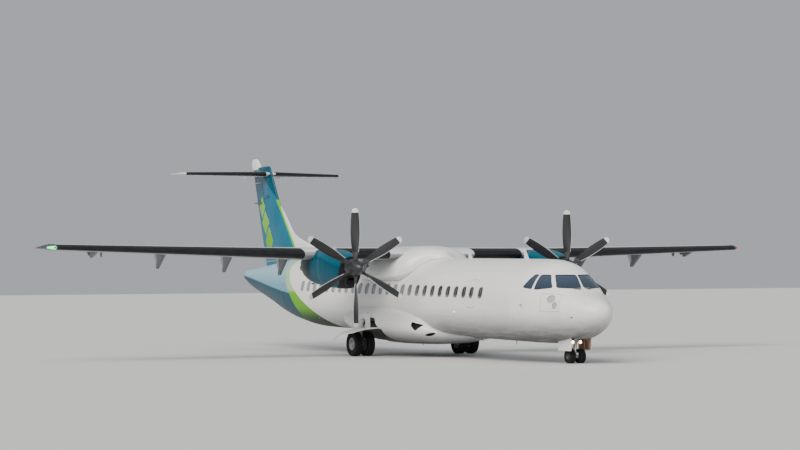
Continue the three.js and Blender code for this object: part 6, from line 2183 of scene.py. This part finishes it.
show("nose_leg", build_nose_leg(), LEG_FINISHES, slot="gear_steel", replaces=["nose_gear_leg"])
show("nose_lamps", build_nose_lamps(), [STEEL, LAMP_WARM], slot="gear_steel")
show("nose_fork", build_nose_fork(), LEG_FINISHES, "nose_fork", "gear_steel", ["nose_gear_fork"])
pair("nose_door_{side}", build_nose_door(), [WHITE_PAINT, GREY_PAINT, STEEL, DOOR_LINING],
     replaces=["nose_gear_door_{side}"], bevel=0.003)
show("nose_wheel_discs", build_wheel_pair(NOSE_GEAR, 6, 6), [DARK_WHEEL, BLACK_AND_CAVITY_SHADE, STEEL], "nose_wheel_pair",
     "wheel_metal", ["nose_wheels"])
for side_name, way in (("left", 1), ("right", -1)):
    show(f"nose_tread_{side_name}", build_tyre(NOSE_GEAR, way), [TYRE_RUBBER], "nose_wheel_pair", "tyre_rubber",
         [f"nose_tyre_{side_name}"])

for name in ("engine_left", "engine_right"):
    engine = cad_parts[name]
    engine.data.materials.clear()
    engine.data.materials.append(ENGINE_METAL)


# Stage, light and camera

CAMERA = {"place": (70.2922, -35.8901, 2.4689), "yaw": 2.6688, "pitch": 0.0267, "roll": -0.0079, "lens": 100.03}
FLOOR_HALF = 600


def link(thing):
    bpy.context.scene.collection.objects.link(thing)


def add_camera():
    yaw, pitch, roll = CAMERA["yaw"], CAMERA["pitch"], CAMERA["roll"]
    level = math.cos(pitch)
    ahead = Vector((math.cos(yaw) * level, math.sin(yaw) * level, math.sin(pitch)))
    right = Vector((math.sin(yaw), -math.cos(yaw), 0))
    up = right.cross(ahead)
    rolled = right * math.cos(roll) + up * math.sin(roll)
    up = up * math.cos(roll) - right * math.sin(roll)
    data = bpy.data.cameras.new("view_camera")
    data.lens = CAMERA["lens"]
    data.sensor_width = 36
    data.clip_end = 2000
    camera = bpy.data.objects.new("view_camera", data)
    turn = Matrix((rolled, up, -ahead)).transposed().to_4x4()
    camera.matrix_world = Matrix.Translation(CAMERA["place"]) @ turn
    link(camera)
    bpy.context.scene.camera = camera


def add_floor():
    f = Finish("studio_floor")
    cloud = f.noise(0.2, 3)
    f.surface(f.mix((0.60, 0.60, 0.59, 1), (0.64, 0.64, 0.63, 1), cloud), 0.75 + cloud * 0.1)
    mesh = bpy.data.meshes.new("studio_floor")
    corners = [(x * FLOOR_HALF, y * FLOOR_HALF, 0) for x, y in ((-1, -1), (1, -1), (1, 1), (-1, 1))]
    mesh.from_pydata(corners, [], [(0, 1, 2, 3)])
    mesh.materials.append(f.material)
    floor = bpy.data.objects.new("studio_floor", mesh)
    link(floor)


def add_light(name, way, strength, angle, colour=(1, 1, 1)):
    """Far soft light that shines along a direction."""
    data = bpy.data.lights.new(name, "SUN")
    data.energy = strength
    data.angle = math.radians(angle)
    data.color = colour
    light = bpy.data.objects.new(name, data)
    light.matrix_world = Vector(way).to_track_quat("-Z", "Y").to_matrix().to_4x4()
    link(light)


def add_world():
    world = bpy.data.worlds.new("studio")
    world.use_nodes = True
    sky = world.node_tree.nodes["Background"]
    sky.inputs[0].default_value = (0.86, 0.90, 0.95, 1)
    sky.inputs[1].default_value = 0.50
    bpy.context.scene.world = world


add_camera()
add_floor()
add_world()
add_light("key", (-0.50, 0.62, -0.62), 4.0, 45, (1.0, 0.96, 0.92))
add_light("fill", (-0.8, -0.5, -0.35), 0.5, 70)
